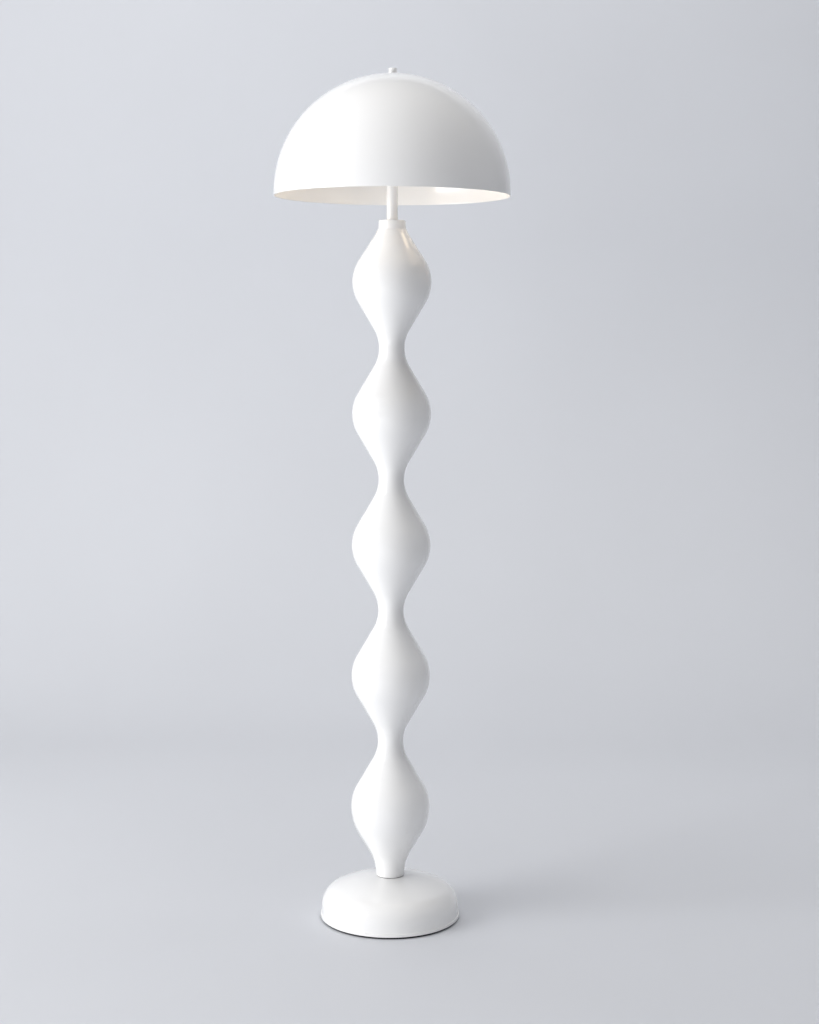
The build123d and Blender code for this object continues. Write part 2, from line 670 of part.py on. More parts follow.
# ---------------------------------------------------------------- cluster
def cluster_body():
    """Turned cup on top of the pipe that carries the arms, the switch and the shade's rod."""
    spigot_radius = STEM_RADIUS - STEM_WALL - PUSH_GAP
    spigot_bottom = cluster_z - STEM_SOCKET_DEPTH
    cup = turned_polygon(
        (pipe_hole, spigot_bottom), (spigot_radius, spigot_bottom), (spigot_radius, cluster_z),
        (CLUSTER_RADIUS - EDGE_BEVEL, cluster_z), (CLUSTER_RADIUS, cluster_z + EDGE_BEVEL),
        (CLUSTER_RADIUS, cluster_top), (cluster_inside, cluster_top), (cluster_inside, cluster_floor_z),
        (pipe_hole, cluster_floor_z),
    )
    cut_start, cut_end = cluster_inside - CLUSTER_WALL, CLUSTER_RADIUS + OVERCUT
    for side in (-1, 1):
        cup -= along_arm(disc(NIPPLE_RADIUS + PUSH_GAP, cut_start, cut_end), side)
    return cup - on_switch_axis(disc(SWITCH_NECK_RADIUS + PUSH_GAP, cut_start, cut_end))


def cluster_nut():
    """Nut that holds the cluster on the pipe."""
    return hex_nut(CLUSTER_NUT_FLATS, PIPE_RADIUS + TURNING_GAP, cluster_floor_z,
                   cluster_floor_z + CLUSTER_NUT_THICKNESS)


def cluster_lid():
    """Lid of the cluster; the shade's rod is bolted through its middle."""
    lip_outside = cluster_inside - PUSH_GAP
    lip_inside = lip_outside - LID_LIP_WALL
    lip_bottom = cluster_top - LID_LIP_DEPTH
    return turned_polygon(
        (rod_hole, cluster_top), (lip_inside, cluster_top), (lip_inside, lip_bottom),
        (lip_outside, lip_bottom), (lip_outside, cluster_top), (CLUSTER_RADIUS, cluster_top),
        (CLUSTER_RADIUS, lid_top - EDGE_BEVEL), (CLUSTER_RADIUS - EDGE_BEVEL, lid_top), (rod_hole, lid_top),
    )


def splice_block():
    """Block inside the cluster where the cable meets the leads and the switch."""
    width, length, _ = SPLICE_SIZE
    return block((-width / 2, width / 2), (SPLICE_BACK - length, SPLICE_BACK), (splice_z, splice_top))


def switch_body():
    """Rotary switch inside the cluster, with its threaded neck through the wall at the back."""
    half = SWITCH_WIDTH / 2
    collar_end = inside_reach(SWITCH_COLLAR_RADIUS)
    front = collar_end - SWITCH_COLLAR_LENGTH
    neck_end = CLUSTER_RADIUS + SWITCH_NECK_OUTSIDE
    body = Pos(0, 0, arm_z) * block((-half, half), (SPLICE_BACK, front), (-half, half))
    body += on_switch_axis(disc(SWITCH_COLLAR_RADIUS, front, collar_end))
    body += on_switch_axis(disc(SWITCH_NECK_RADIUS, front, neck_end))
    bore = disc(SWITCH_SHAFT_RADIUS + TURNING_GAP, neck_end - SWITCH_SHAFT_LENGTH, neck_end + OVERCUT)
    return body - on_switch_axis(bore)


def switch_nut():
    """Nut that clamps the switch to the cluster's wall."""
    start = CLUSTER_RADIUS + PUSH_GAP
    nut = hex_nut(SWITCH_NUT_FLATS, SWITCH_NECK_RADIUS + TURNING_GAP, start, start + SWITCH_NUT_THICKNESS)
    return on_switch_axis(nut)


def switch_knob():
    """Fluted knob with its shaft."""
    start = CLUSTER_RADIUS + SWITCH_NECK_OUTSIDE + KNOB_GAP
    end = start + KNOB_LENGTH
    knob = turned_polygon(
        (0, start - SWITCH_SHAFT_LENGTH), (SWITCH_SHAFT_RADIUS, start - SWITCH_SHAFT_LENGTH),
        (SWITCH_SHAFT_RADIUS, start), (KNOB_RADIUS - EDGE_BEVEL, start), (KNOB_RADIUS, start + EDGE_BEVEL),
        (KNOB_RADIUS, end - EDGE_BEVEL), (KNOB_RADIUS - EDGE_BEVEL, end), (0, end),
    )
    flute = Pos(KNOB_RADIUS, 0, 0) * disc(KNOB_FLUTE_RADIUS, start + KNOB_LENGTH / 4, end + OVERCUT)
    for number in range(KNOB_FLUTES):
        knob -= Rot(0, 0, number * 360 / KNOB_FLUTES) * flute
    return on_switch_axis(knob)


# ---------------------------------------------------------------- arms, lampholders and bulbs
def arm_nipple(side):
    """Short threaded pipe from the cluster to a lampholder."""
    return along_arm(tube(NIPPLE_RADIUS, NIPPLE_BORE_RADIUS, cluster_inside - NIPPLE_INSIDE,
                          holder_start + NIPPLE_IN_HOLDER), side)


def nipple_nuts():
    """Nuts that hold the two nipples, inside the cluster."""
    end = inside_reach(corner_radius(NIPPLE_NUT_FLATS))
    nut = hex_nut(NIPPLE_NUT_FLATS, NIPPLE_RADIUS + TURNING_GAP, end - NIPPLE_NUT_THICKNESS, end)
    return [along_arm(nut, side) for side in (-1, 1)]


def socket_lead(side):
    """Lead from the splice block through the nipple to the lampholder."""
    return along_arm(disc(LEAD_RADIUS, SPLICE_SIZE[0] / 2, insulator_back), side)


def socket_cup(side):
    """Outer cup of a lampholder."""
    back_end = holder_start + HOLDER_BACK_LENGTH
    lip_start = holder_end - HOLDER_LIP_LENGTH
    lip_outside = holder_radius + HOLDER_LIP
    floor = holder_start + HOLDER_FLOOR
    hole = NIPPLE_RADIUS + TURNING_GAP
    cup = turned(
        line((hole, holder_start), (HOLDER_BACK_RADIUS, holder_start)),
        bulged((HOLDER_BACK_RADIUS, holder_start), (holder_radius, back_end), HOLDER_BACK_BULGE),
        line((holder_radius, back_end), (holder_radius, lip_start)),
        line((holder_radius, lip_start), (lip_outside, lip_start + HOLDER_LIP)),
        line((lip_outside, lip_start + HOLDER_LIP), (lip_outside, holder_end)),
        line((lip_outside, holder_end), (holder_bore, holder_end)),
        line((holder_bore, holder_end), (holder_bore, floor)),
        line((holder_bore, floor), (hole, floor)),
        line((hole, floor), (hole, holder_start)),
    )
    return along_arm(cup, side)


def socket_insulator(side):
    """Ceramic disc that carries the contact and the threaded liner."""
    return along_arm(disc(holder_bore - PUSH_GAP, insulator_back, insulator_front), side)


def socket_contact(side):
    """Domed centre contact."""
    top = insulator_front + CONTACT_HEIGHT
    contact = turned_polygon(
        (0, insulator_front), (CONTACT_RADIUS, insulator_front), (CONTACT_RADIUS, top - CONTACT_HEIGHT / 2),
        (CONTACT_RADIUS / 2, top), (0, top),
    )
    return along_arm(contact, side)


def socket_liner(side):
    """Threaded shell that the bulb screws into."""
    liner = tube(LINER_RADIUS + LINER_WALL, LINER_RADIUS, insulator_front, holder_end - LINER_SETBACK)
    return along_arm(liner, side)


def bulb_cap(side):
    """Screw cap of a bulb, with its contact pip and rolled thread."""
    thread_start = cap_start + BULB_CAP_TAPER
    cap = turned_polygon(
        (0, pip_start), (BULB_PIP_RADIUS, pip_start), (BULB_PIP_RADIUS, cap_start),
        (cap_radius - BULB_CAP_TAPER, cap_start), (cap_radius, thread_start), (cap_radius, body_start),
        (0, body_start),
    )
    groove_radius = (BULB_THREAD_PITCH**2 / 16 + BULB_THREAD_DEPTH**2) / (2 * BULB_THREAD_DEPTH)
    groove = Torus(cap_radius + groove_radius - BULB_THREAD_DEPTH, groove_radius)
    for number in range(BULB_THREAD_COUNT):
        cap -= Pos(0, 0, thread_start + (number + 1 / 2) * BULB_THREAD_PITCH) * groove
    return along_arm(cap, side)


def bulb_body(side):
    """Plastic body of a bulb, between the cap and the globe."""
    base_radius = cap_radius + BULB_BODY_STEP
    body = turned(
        line((0, body_start), (base_radius, body_start)),
        bulged((base_radius, body_start), (BULB_BODY_RADIUS, body_end), BULB_BODY_BULGE),
        line((BULB_BODY_RADIUS, body_end), (0, body_end)),
        line((0, body_end), (0, body_start)),
    )
    return along_arm(body, side)


def bulb_globe(side):
    """Opal globe of a bulb: a thin shell, from the body's edge along a straight side onto a sphere."""
    def foot(depth):
        """Where the straight side meets the body, depth below the surface."""
        return ((BULB_GLOBE_RADIUS - depth + globe_reach * sin(touch)) / cos(touch), body_end)

    def outline(depth):
        """The surface at a depth, from the body's front to the tip."""
        radius = BULB_GLOBE_RADIUS - depth
        meeting = (radius * cos(touch), globe_centre + radius * sin(touch))
        return [line(foot(depth), meeting), arc((0, globe_centre), radius, BULB_GLOBE_TOUCH, 90)]

    tip = globe_centre + BULB_GLOBE_RADIUS
    globe = turned(
        *outline(0), *outline(BULB_GLASS),
        line(foot(0), foot(BULB_GLASS)),
        line((0, tip - BULB_GLASS), (0, tip)),
    )
    return along_arm(globe, side)


# ---------------------------------------------------------------- shade and its carrier
def shade_rod():
    """Threaded rod from the cluster's lid up into the finial."""
    return disc(ROD_RADIUS, rod_bottom, rod_top)


def rod_nuts():
    """Nuts of the rod: below and above the lid, and under the seat."""
    bore = ROD_RADIUS + TURNING_GAP
    bottoms = (cluster_top - ROD_NUT_THICKNESS, lid_top, seat_bottom - ROD_NUT_THICKNESS)
    return [hex_nut(ROD_NUT_FLATS, bore, z, z + ROD_NUT_THICKNESS) for z in bottoms]


def shade_seat():
    """Turned seat that the crown of the shade rests on."""
    edge_top = crown_inside - SEAT_SLOPE
    return turned_polygon(
        (rod_hole, seat_bottom), (SEAT_HUB_RADIUS, seat_bottom), (SEAT_RADIUS, edge_top - SEAT_EDGE),
        (SEAT_RADIUS, edge_top), (SEAT_TOP_RADIUS, crown_inside), (rod_hole, crown_inside),
    )


def shade():
    """Thin spun hemisphere with a short upright skirt, a rounded rim and a flat at the crown."""
    edge = SHADE_WALL / 2
    outside_angle = degrees(asin((crown_z - shade_centre) / SHADE_RADIUS))
    inside_angle = degrees(asin((crown_inside - shade_centre) / shade_inside))
    inside_flat = shade_inside * cos(radians(inside_angle))
    return turned(
        arc((SHADE_RADIUS - edge, rim_z + edge), edge, 0, -180),
        line((SHADE_RADIUS, rim_z + edge), (SHADE_RADIUS, shade_centre)),
        arc((0, shade_centre), SHADE_RADIUS, 0, outside_angle),
        line((crown_flat, crown_z), (crown_hole, crown_z)),
        line((crown_hole, crown_z), (crown_hole, crown_inside)),
        line((crown_hole, crown_inside), (inside_flat, crown_inside)),
        arc((0, shade_centre), shade_inside, inside_angle, 0),
        line((shade_inside, shade_centre), (shade_inside, rim_z + edge)),
    )


def finial_washer():
    """Fibre washer between the shade and the finial."""
    return tube(FINIAL_RADIUS - FINIAL_WASHER_INSET, crown_hole, crown_z, finial_z)


def finial():
    """Small round nut that holds the shade down."""
    bore = ROD_RADIUS + TURNING_GAP
    bore_top = rod_top + ROD_END_ROOM
    foot_edge = FINIAL_EDGE / 2
    return turned_polygon(
        (bore, finial_z), (FINIAL_RADIUS - foot_edge, finial_z), (FINIAL_RADIUS, finial_z + foot_edge),
        (FINIAL_RADIUS, finial_top - FINIAL_EDGE), (FINIAL_RADIUS - FINIAL_EDGE, finial_top),
        (0, finial_top), (0, bore_top), (bore, bore_top),
    )


# ---------------------------------------------------------------- all the pieces
def pieces():
    """Every piece of the lamp under its node name."""
    named = {
        "foot_pad": foot_pad(),
        "base_plate": base_plate(),
        "plate_screws": plate_screws(),
        "ballast_weight": ballast_weight(),
        "base_shell": base_shell(),
        "cord_bushing": cord_bushing(),
        "terminal_block": terminal_block(),
        "pipe_washer": pipe_washer(),
        "pipe_locknut": pipe_locknut(),
        "foot_ring": foot_ring(),
        "collar_cap": collar_cap(),
        "centre_pipe_lower": centre_pipe(pipe_bottom, coupler_z),
        "centre_pipe_upper": centre_pipe(coupler_z, pipe_top),
        "pipe_coupler": pipe_coupler(),
        "stem_tube": stem_tube(),
        "lamp_cable": lamp_cable(),
        "cluster_body": cluster_body(),
        "cluster_nut": cluster_nut(),
        "cluster_lid": cluster_lid(),
        "splice_block": splice_block(),
        "switch_body": switch_body(),
        "switch_nut": switch_nut(),
        "switch_knob": switch_knob(),
        "nipple_nuts": nipple_nuts(),
        "shade_rod": shade_rod(),
        "rod_nuts": rod_nuts(),
        "shade_seat": shade_seat(),
        "shade": shade(),
        "finial_washer": finial_washer(),
        "finial": finial(),
    }
    for number in range(BEAD_COUNT):
        named[f"column_section_{number + 1}"] = column_section(number)
    for number in range(BEAD_COUNT - 1):
        named[f"neck_ring_{number + 1}"] = neck_ring(number)
    for word, side in (("left", -1), ("right", 1)):
        for make in (arm_nipple, socket_lead, socket_cup, socket_insulator, socket_contact, socket_liner,
                     bulb_cap, bulb_body, bulb_globe):
            named[f"{make.__name__}_{word}"] = make(side)
    return named


os.makedirs("parts", exist_ok=True)
for node, piece in pieces().items():
    solids = [solid for item in (piece if isinstance(piece, list) else [piece]) for solid in item.solids()]
    whole = solids[0] if len(solids) == 1 else Compound(children=solids)
    export_step(whole, f"parts/{node}.step")
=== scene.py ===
"""A gloss white mushroom floor lamp, lit, standing in a plain studio.

The lamp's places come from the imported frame. Lengths are in metres, +Z is up and the front faces -Y.
"""

import json
import logging
from collections.abc import Callable
from dataclasses import dataclass
from enum import Enum
from itertools import pairwise
from math import asin, atan2, cos, degrees, hypot, pi, radians, sin, tan

import bmesh
import bpy
from mathutils import Euler, Matrix, Vector


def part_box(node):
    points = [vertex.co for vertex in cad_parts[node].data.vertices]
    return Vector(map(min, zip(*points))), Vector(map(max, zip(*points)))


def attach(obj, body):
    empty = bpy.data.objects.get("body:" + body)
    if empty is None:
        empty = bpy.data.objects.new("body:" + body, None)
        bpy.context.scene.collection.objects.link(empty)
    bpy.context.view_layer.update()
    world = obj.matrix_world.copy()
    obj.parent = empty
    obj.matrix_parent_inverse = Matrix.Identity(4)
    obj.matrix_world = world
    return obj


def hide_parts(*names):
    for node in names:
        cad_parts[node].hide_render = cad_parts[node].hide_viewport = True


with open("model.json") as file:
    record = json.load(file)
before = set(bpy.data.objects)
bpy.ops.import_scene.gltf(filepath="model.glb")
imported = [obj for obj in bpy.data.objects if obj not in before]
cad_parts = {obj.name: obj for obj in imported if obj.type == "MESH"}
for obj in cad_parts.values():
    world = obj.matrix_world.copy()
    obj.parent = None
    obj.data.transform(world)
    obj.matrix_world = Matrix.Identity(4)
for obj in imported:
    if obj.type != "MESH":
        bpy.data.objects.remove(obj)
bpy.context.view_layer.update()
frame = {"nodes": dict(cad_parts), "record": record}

log = logging.getLogger("lamp")

Colour = Spot = tuple[float, float, float]
Place = tuple[float, float]

PIPE_HOLE = 0.0066  # radius of the holes that the centre pipe runs through
PUSH_GAP = 0.0001  # play between two pieces that are pushed together
OVERCUT = 0.001  # how far a cutter reaches past a face


# ---- shading
class Number:
    """A value socket of a material, with arithmetic that adds Math nodes."""

    def __init__(self, shader: "Shader", socket: bpy.types.NodeSocket) -> None:
        """Keeps the socket and the shader that it belongs to."""
        self.shader = shader
        self.socket = socket

    def _maths(self, operation: str, first: "Number | float", second: "Number | float") -> "Number":
        """Adds one Math node and gives its value."""
        values = {0: first, 1: second}
        return Number(self.shader, self.shader.node("ShaderNodeMath", {"operation": operation}, values))

    def __add__(self, other: "Number | float") -> "Number":
        """Sum."""
        return self._maths("ADD", self, other)

    def __mul__(self, other: "Number | float") -> "Number":
        """Product."""
        return self._maths("MULTIPLY", self, other)

    def __sub__(self, other: "Number | float") -> "Number":
        """Difference."""
        return self._maths("SUBTRACT", self, other)

    def __rsub__(self, other: float) -> "Number":
        """Difference from a plain number."""
        return self._maths("SUBTRACT", other, self)

    __radd__ = __add__
    __rmul__ = __mul__


class Shader:
    """A material under construction."""

    def __init__(self, name: str) -> None:
        """Starts an empty material.

        Args:
            name: The material's name.
        """
        self.material = bpy.data.materials.new(name)
        self.material.use_nodes = True
        self.tree = self.material.node_tree
        self.tree.nodes.clear()

    def node(self, kind: str, settings: dict | None = None, values: dict | None = None,
             output: int | str = 0) -> bpy.types.NodeSocket:
        """Adds a node, with its settings first and then the values or links of its sockets.

        Args:
            kind: The node's type.
            settings: Its properties; a ramp takes its stops as a list of (place, colour) pairs.
            values: Its sockets' values or links, by name or number.
            output: Which of its outputs is wanted.

        Returns:
            That output's socket.
        """
        made = self.tree.nodes.new(kind)
        for key, value in (settings or {}).items():
            if key == "stops":
                self._set_stops(made.color_ramp, value)
            else:
                setattr(made, key, value)
        for key, value in (values or {}).items():
            if isinstance(value, Number):
                value = value.socket
            if isinstance(value, bpy.types.NodeSocket):
                self.tree.links.new(value, made.inputs[key])
            else:
                made.inputs[key].default_value = value
        return made.outputs[output] if made.outputs else made

    @staticmethod
    def _set_stops(ramp: bpy.types.ColorRamp, stops: list[tuple[float, Colour]]) -> None:
        """Sets a ramp's stops.

        Args:
            ramp: The ramp.
            stops: Its (place, colour) pairs.
        """
        while len(ramp.elements) < len(stops):
            ramp.elements.new(1.0)
        for element, (place, colour) in zip(ramp.elements, stops):
            element.position = place
            element.color = (*colour, 1.0)

    def noise(self, at: bpy.types.NodeSocket, size: float, detail: float = 2.0) -> Number:
        """Noise about one half, whose features have a real size in metres."""
        return Number(self, self.node("ShaderNodeTexNoise", {"noise_dimensions": "3D"},
                                      {"Vector": at, "Scale": 1.0 / size, "Detail": detail}))


class Grain(Enum):
    """The kinds of surface texture on the lamp."""

    PEEL = "sprayed gloss paint"
    TURNED = "fine rings from a lathe"
    CAST = "rough casting"
    MOULDED = "moulded plastic"
    FOAM = "closed foam cells"


@dataclass(frozen=True)
class Finish:
    """How one material of the lamp looks."""

    slot: str
    colour: Colour
    roughness: float
    grain: Grain
    grain_size: float
    grain_depth: float
    tint: float = 0.02
    uneven: float = 0.03
    metallic: float = 0.0
    coat: float = 0.0
    coat_roughness: float = 0.03
    glow: Colour | None = None
    glow_strength: float = 0.0

    SMUDGE_SIZE = 0.06
    SMUDGE_SHARE = 0.6
    RING_STRETCH = 0.02

    def material(self) -> bpy.types.Material:
        """Builds the material.

        Returns:
            The finished material.
        """
        shader = Shader(self.slot)
        place = shader.node("ShaderNodeTexCoord", output="Object")
        grain = self._grain(shader, place)
        smudge = shader.noise(place, self.SMUDGE_SIZE, 3.0)
        bump = shader.node("ShaderNodeBump", None,
                           {"Height": grain, "Distance": self.grain_depth, "Strength": 1.0})
        share = self.SMUDGE_SHARE
        values = {
            "Base Color": self._colour(shader, smudge * share + grain * (1 - share)),
            "Roughness": (smudge - 0.5) * (2 * self.uneven) + self.roughness,
            "Metallic": self.metallic,
            "Coat Weight": self.coat,
            "Coat Roughness": self.coat_roughness,
            "Normal": bump,
        }
        if self.glow is not None:
            values["Emission Color"] = (*self.glow, 1.0)
            values["Emission Strength"] = self.glow_strength
        surface = shader.node("ShaderNodeBsdfPrincipled", None, values)
        shader.node("ShaderNodeOutputMaterial", None, {"Surface": surface})
        return shader.material

    def _colour(self, shader: Shader, amount: Number) -> bpy.types.NodeSocket:
        """The colour, varied a little over the surface.

        Args:
            shader: The material under construction.
            amount: What it varies with.

        Returns:
            The colour's socket.
        """
        low, high = 1.0 - self.tint, 1.0 + self.tint
        stops = [(0.3, tuple(c * low for c in self.colour)),
                 (0.7, tuple(min(c * high, 1.0) for c in self.colour))]
        return shader.node("ShaderNodeValToRGB", {"stops": stops}, {"Fac": amount})

    def _grain(self, shader: Shader, place: bpy.types.NodeSocket) -> Number:
        """The fine texture of this finish.

        Args:
            shader: The material under construction.
            place: Object coordinates.

        Returns:
            Its height.
        """
        if self.grain is Grain.TURNED:
            stretch = (self.RING_STRETCH, self.RING_STRETCH, 1.0)
            place = shader.node("ShaderNodeMapping", None, {"Vector": place, "Scale": stretch})
        if self.grain is Grain.FOAM:
            cells = shader.node("ShaderNodeTexVoronoi", {"feature": "F1"},
                                {"Vector": place, "Scale": 1.0 / self.grain_size})
            return Number(shader, cells)
        detail = 6.0 if self.grain is Grain.CAST else 2.0
        return shader.noise(place, self.grain_size, detail)


FINISHES = (
    Finish("white_enamel", (0.872, 0.87, 0.866), 0.16, Grain.PEEL, 0.0022, 0.0000035,
           tint=0.006, uneven=0.02, coat=0.6),
    Finish("black_foam", (0.02, 0.02, 0.022), 0.85, Grain.FOAM, 0.0008, 0.0001, tint=0.2),
    Finish("zinc_steel", (0.62, 0.62, 0.63), 0.32, Grain.TURNED, 0.0006, 0.000004,
           tint=0.06, uneven=0.08, metallic=1.0),
    Finish("cast_iron", (0.08, 0.08, 0.085), 0.7, Grain.CAST, 0.003, 0.0002,
           tint=0.15, uneven=0.1, metallic=0.6),
    Finish("white_nylon", (0.8, 0.8, 0.78), 0.42, Grain.MOULDED, 0.0009, 0.00001),
    Finish("dark_ring", (0.05, 0.05, 0.052), 0.45, Grain.TURNED, 0.0008, 0.000004, tint=0.05),
    Finish("aluminium", (0.7, 0.7, 0.72), 0.28, Grain.TURNED, 0.0006, 0.000004,
           tint=0.05, uneven=0.06, metallic=1.0),
    Finish("cable_sheath", (0.78, 0.78, 0.76), 0.5, Grain.MOULDED, 0.0008, 0.00001),
    Finish("white_phenolic", (0.8, 0.79, 0.76), 0.22, Grain.MOULDED, 0.0012, 0.000006),
    Finish("black_phenolic", (0.02, 0.02, 0.02), 0.24, Grain.MOULDED, 0.0012, 0.000006, tint=0.1),
    Finish("ceramic", (0.8, 0.78, 0.73), 0.6, Grain.CAST, 0.0015, 0.00003),
    Finish("brass", (0.72, 0.52, 0.22), 0.25, Grain.TURNED, 0.0006, 0.000004,
           tint=0.06, uneven=0.08, metallic=1.0),
    Finish("nickel", (0.66, 0.65, 0.62), 0.2, Grain.TURNED, 0.0006, 0.000004,
           tint=0.05, uneven=0.06, metallic=1.0),
    Finish("bulb_plastic", (0.84, 0.84, 0.82), 0.38, Grain.MOULDED, 0.001, 0.000008),
    Finish("opal_glass", (0.95, 0.9, 0.8), 0.25, Grain.MOULDED, 0.002, 0.000004,
           tint=0.01, glow=(1.0, 0.8, 0.56), glow_strength=4.6),
)


class Paints:
    """The finishes' materials, each built once."""

    def __init__(self) -> None:
        """Builds every material."""
        self.materials = {finish.slot: finish.material() for finish in FINISHES}

    def dress(self, piece: bpy.types.Object, slot: str) -> None:
        """Gives a piece the finish of one of the record's material slots."""
        piece.data.materials.clear()
        piece.data.materials.append(self.materials[slot])


# ---- outlines
class Outline:
    """Outline of a turned piece: (radius, height) points, with corners that are rounded off."""

    CORNER_STEPS = 4
    REACH = 0.45

    def __init__(self) -> None:
        """Starts an empty outline."""
        self.corners: list[Spot] = []

    def to(self, radius: float, height: float, fillet: float = 0.0) -> "Outline":
        """Adds a corner, with the distance from it at which its rounding starts."""
        self.corners.append((radius, height, fillet))
        return self

    def arc(self, centre: Place, radius: float, start: float, end: float, steps: int) -> "Outline":
        """Adds an arc.

        Args:
            centre: Its centre.
            radius: Its radius.
            start: Where it starts, in degrees from the outward direction.
            end: Where it ends.
            steps: How many straight pieces it has.

        Returns:
            The outline.
        """
        for step in range(steps + 1):
            angle = radians(start + (end - start) * step / steps)
            self.to(centre[0] + radius * cos(angle), centre[1] + radius * sin(angle))
        return self

    def add(self, points: list[Place]) -> "Outline":
        """Adds plain points, in order."""
        self.corners.extend((radius, height, 0.0) for radius, height in points)
        return self

    def points(self, closed: bool) -> list[Place]:
        """The outline's points, with its corners rounded.

        Args:
            closed: Whether the last point joins the first.

        Returns:
            The points, in order.
        """
        found: list[Place] = []
        count = len(self.corners)
        for number, (radius, height, fillet) in enumerate(self.corners):
            inner = closed or 0 < number < count - 1
            if fillet <= 0.0 or not inner:
                found.append((radius, height))
                continue
            here = Vector((radius, height))
            before = Vector(self.corners[number - 1][:2]) - here
            after = Vector(self.corners[(number + 1) % count][:2]) - here
            start = here + before.normalized() * min(fillet, before.length * self.REACH)
            end = here + after.normalized() * min(fillet, after.length * self.REACH)
            for step in range(self.CORNER_STEPS + 1):
                share = step / self.CORNER_STEPS
                spot = start * (1 - share) ** 2 + here * (2 * share * (1 - share)) + end * share**2
                found.append((spot.x, spot.y))
        kept = [found[0]]
        for spot in found[1:]:
            if hypot(spot[0] - kept[-1][0], spot[1] - kept[-1][1]) > Bench.SAME:
                kept.append(spot)
        return kept


# ---- operators
class Bench:
    """The operators that shape a piece, each on a clean selection."""

    SAME = 0.000002
    START_SIZE = 0.001
    SMOOTH_ANGLE = radians(32)
    PITCH = 0.001

    @staticmethod
    def clear() -> None:
        """Leaves edit mode and deselects everything."""
        if bpy.context.object is not None and bpy.context.object.mode != "OBJECT":
            bpy.ops.object.mode_set(mode="OBJECT")
        bpy.ops.object.select_all(action="DESELECT")

    @classmethod
    def pick(cls, piece: bpy.types.Object) -> None:
        """Makes one piece the only selected one, and the active one.

        Args:
            piece: The piece.
        """
        cls.clear()
        piece.select_set(True)
        bpy.context.view_layer.objects.active = piece

    @classmethod
    def settle(cls, piece: bpy.types.Object) -> bpy.types.Object:
        """Puts a piece's place into its mesh, and smooths it up to its real edges.

        Args:
            piece: The piece.

        Returns:
            The piece.
        """
        cls.pick(piece)
        bpy.ops.object.transform_apply(location=True, rotation=True, scale=True)
        bpy.ops.object.shade_smooth_by_angle(angle=cls.SMOOTH_ANGLE)
        return piece

    @classmethod
    def _start(cls, name: str, place: Spot) -> bpy.types.Object:
        """Starts a piece as one vertex, and leaves it in edit mode.

        Args:
            name: The piece's name.
            place: Where the vertex is.

        Returns:
            The piece.
        """
        cls.clear()
        bpy.ops.mesh.primitive_plane_add(size=cls.START_SIZE, location=place)
        piece = bpy.context.object
        piece.name = name
        bpy.ops.object.transform_apply(location=True)
        bpy.ops.object.mode_set(mode="EDIT")
        bpy.ops.mesh.select_all(action="SELECT")
        bpy.ops.mesh.merge(type="CENTER")
        return piece

    @staticmethod
    def select(piece: bpy.types.Object, kind: str, wanted: Callable[..., bool]) -> None:
        """Selects parts of a mesh in edit mode.

        Args:
            piece: The piece.
            kind: VERT, EDGE or FACE.
            wanted: Takes a part and says whether it is wanted.
        """
        bpy.ops.mesh.select_mode(type=kind)
        bpy.ops.mesh.select_all(action="DESELECT")
        mesh = bmesh.from_edit_mesh(piece.data)
        parts = {"VERT": mesh.verts, "EDGE": mesh.edges, "FACE": mesh.faces}[kind]
        parts.index_update()
        for part in parts:
            part.select_set(wanted(part))
        bmesh.update_edit_mesh(piece.data)

    @classmethod
    def turn(cls, name: str, outline: Outline, steps: int = 96, closed: bool = True) -> bpy.types.Object:
        """Turns an outline about the Z axis.

        Args:
            name: The piece's name.
            outline: Its outline; an open one starts and ends on the axis.
            steps: How many faces it has round.
            closed: Whether the outline is a closed loop.

        Returns:
            The turned piece.
        """
        points = outline.points(closed)
        piece = cls._start(name, (points[0][0], 0.0, points[0][1]))
        for (radius, height), (next_radius, next_height) in pairwise(points):
            step = (next_radius - radius, 0.0, next_height - height)
            bpy.ops.mesh.extrude_region_move(TRANSFORM_OT_translate={"value": step})
        if closed:
            cls.select(piece, "VERT", lambda vertex: vertex.index in (0, len(points) - 1))
            bpy.ops.mesh.edge_face_add()
        bpy.ops.mesh.select_all(action="SELECT")
        bpy.ops.mesh.spin(steps=steps, angle=2 * pi, center=(0, 0, 0), axis=(0, 0, 1))
        bpy.ops.mesh.select_all(action="SELECT")
        bpy.ops.mesh.remove_doubles(threshold=cls.SAME)
        bpy.ops.mesh.normals_make_consistent(inside=False)
        bpy.ops.object.mode_set(mode="OBJECT")
        return cls.settle(piece)

    @classmethod
    def combine(cls, piece: bpy.types.Object, other: bpy.types.Object, operation: str) -> bpy.types.Object:
        """Cuts one piece with another, or keeps what they share.

        Args:
            piece: The piece that stays.
            other: The piece that it is combined with, which goes.
            operation: DIFFERENCE or INTERSECT.

        Returns:
            The piece.
        """
        cls.pick(piece)
        cut = piece.modifiers.new("cut", "BOOLEAN")
        cut.operation, cut.object, cut.solver = operation, other, "EXACT"
        bpy.ops.object.modifier_apply(modifier=cut.name)
        bpy.data.objects.remove(other)
        return cls.settle(piece)

    @classmethod
    def lay(cls, piece: bpy.types.Object, turn: Spot, place: Spot) -> bpy.types.Object:
        """Turns a piece about the origin and moves it, in its mesh.

        Args:
            piece: The piece.
            turn: Its rotation, in degrees about X, Y and Z.
            place: Where its own origin goes.

        Returns:
            The piece.
        """
        spin = Euler([radians(angle) for angle in turn])
        piece.matrix_world = Matrix.Translation(place) @ spin.to_matrix().to_4x4()
        return cls.settle(piece)

    @classmethod
    def prism(cls, sides: int, radius: float, bottom: float, top: float) -> bpy.types.Object:
        """An upright prism on the axis, as a blank for cuts.

        Args:
            sides: How many sides it has.
            radius: Its corners' distance from the axis.
            bottom: Height of its foot.
            top: Height of its top.

        Returns:
            The prism.
        """
        cls.clear()
        bpy.ops.mesh.primitive_cylinder_add(vertices=sides, radius=radius, depth=top - bottom,
                                            location=(0, 0, (top + bottom) / 2))
        return cls.settle(bpy.context.object)

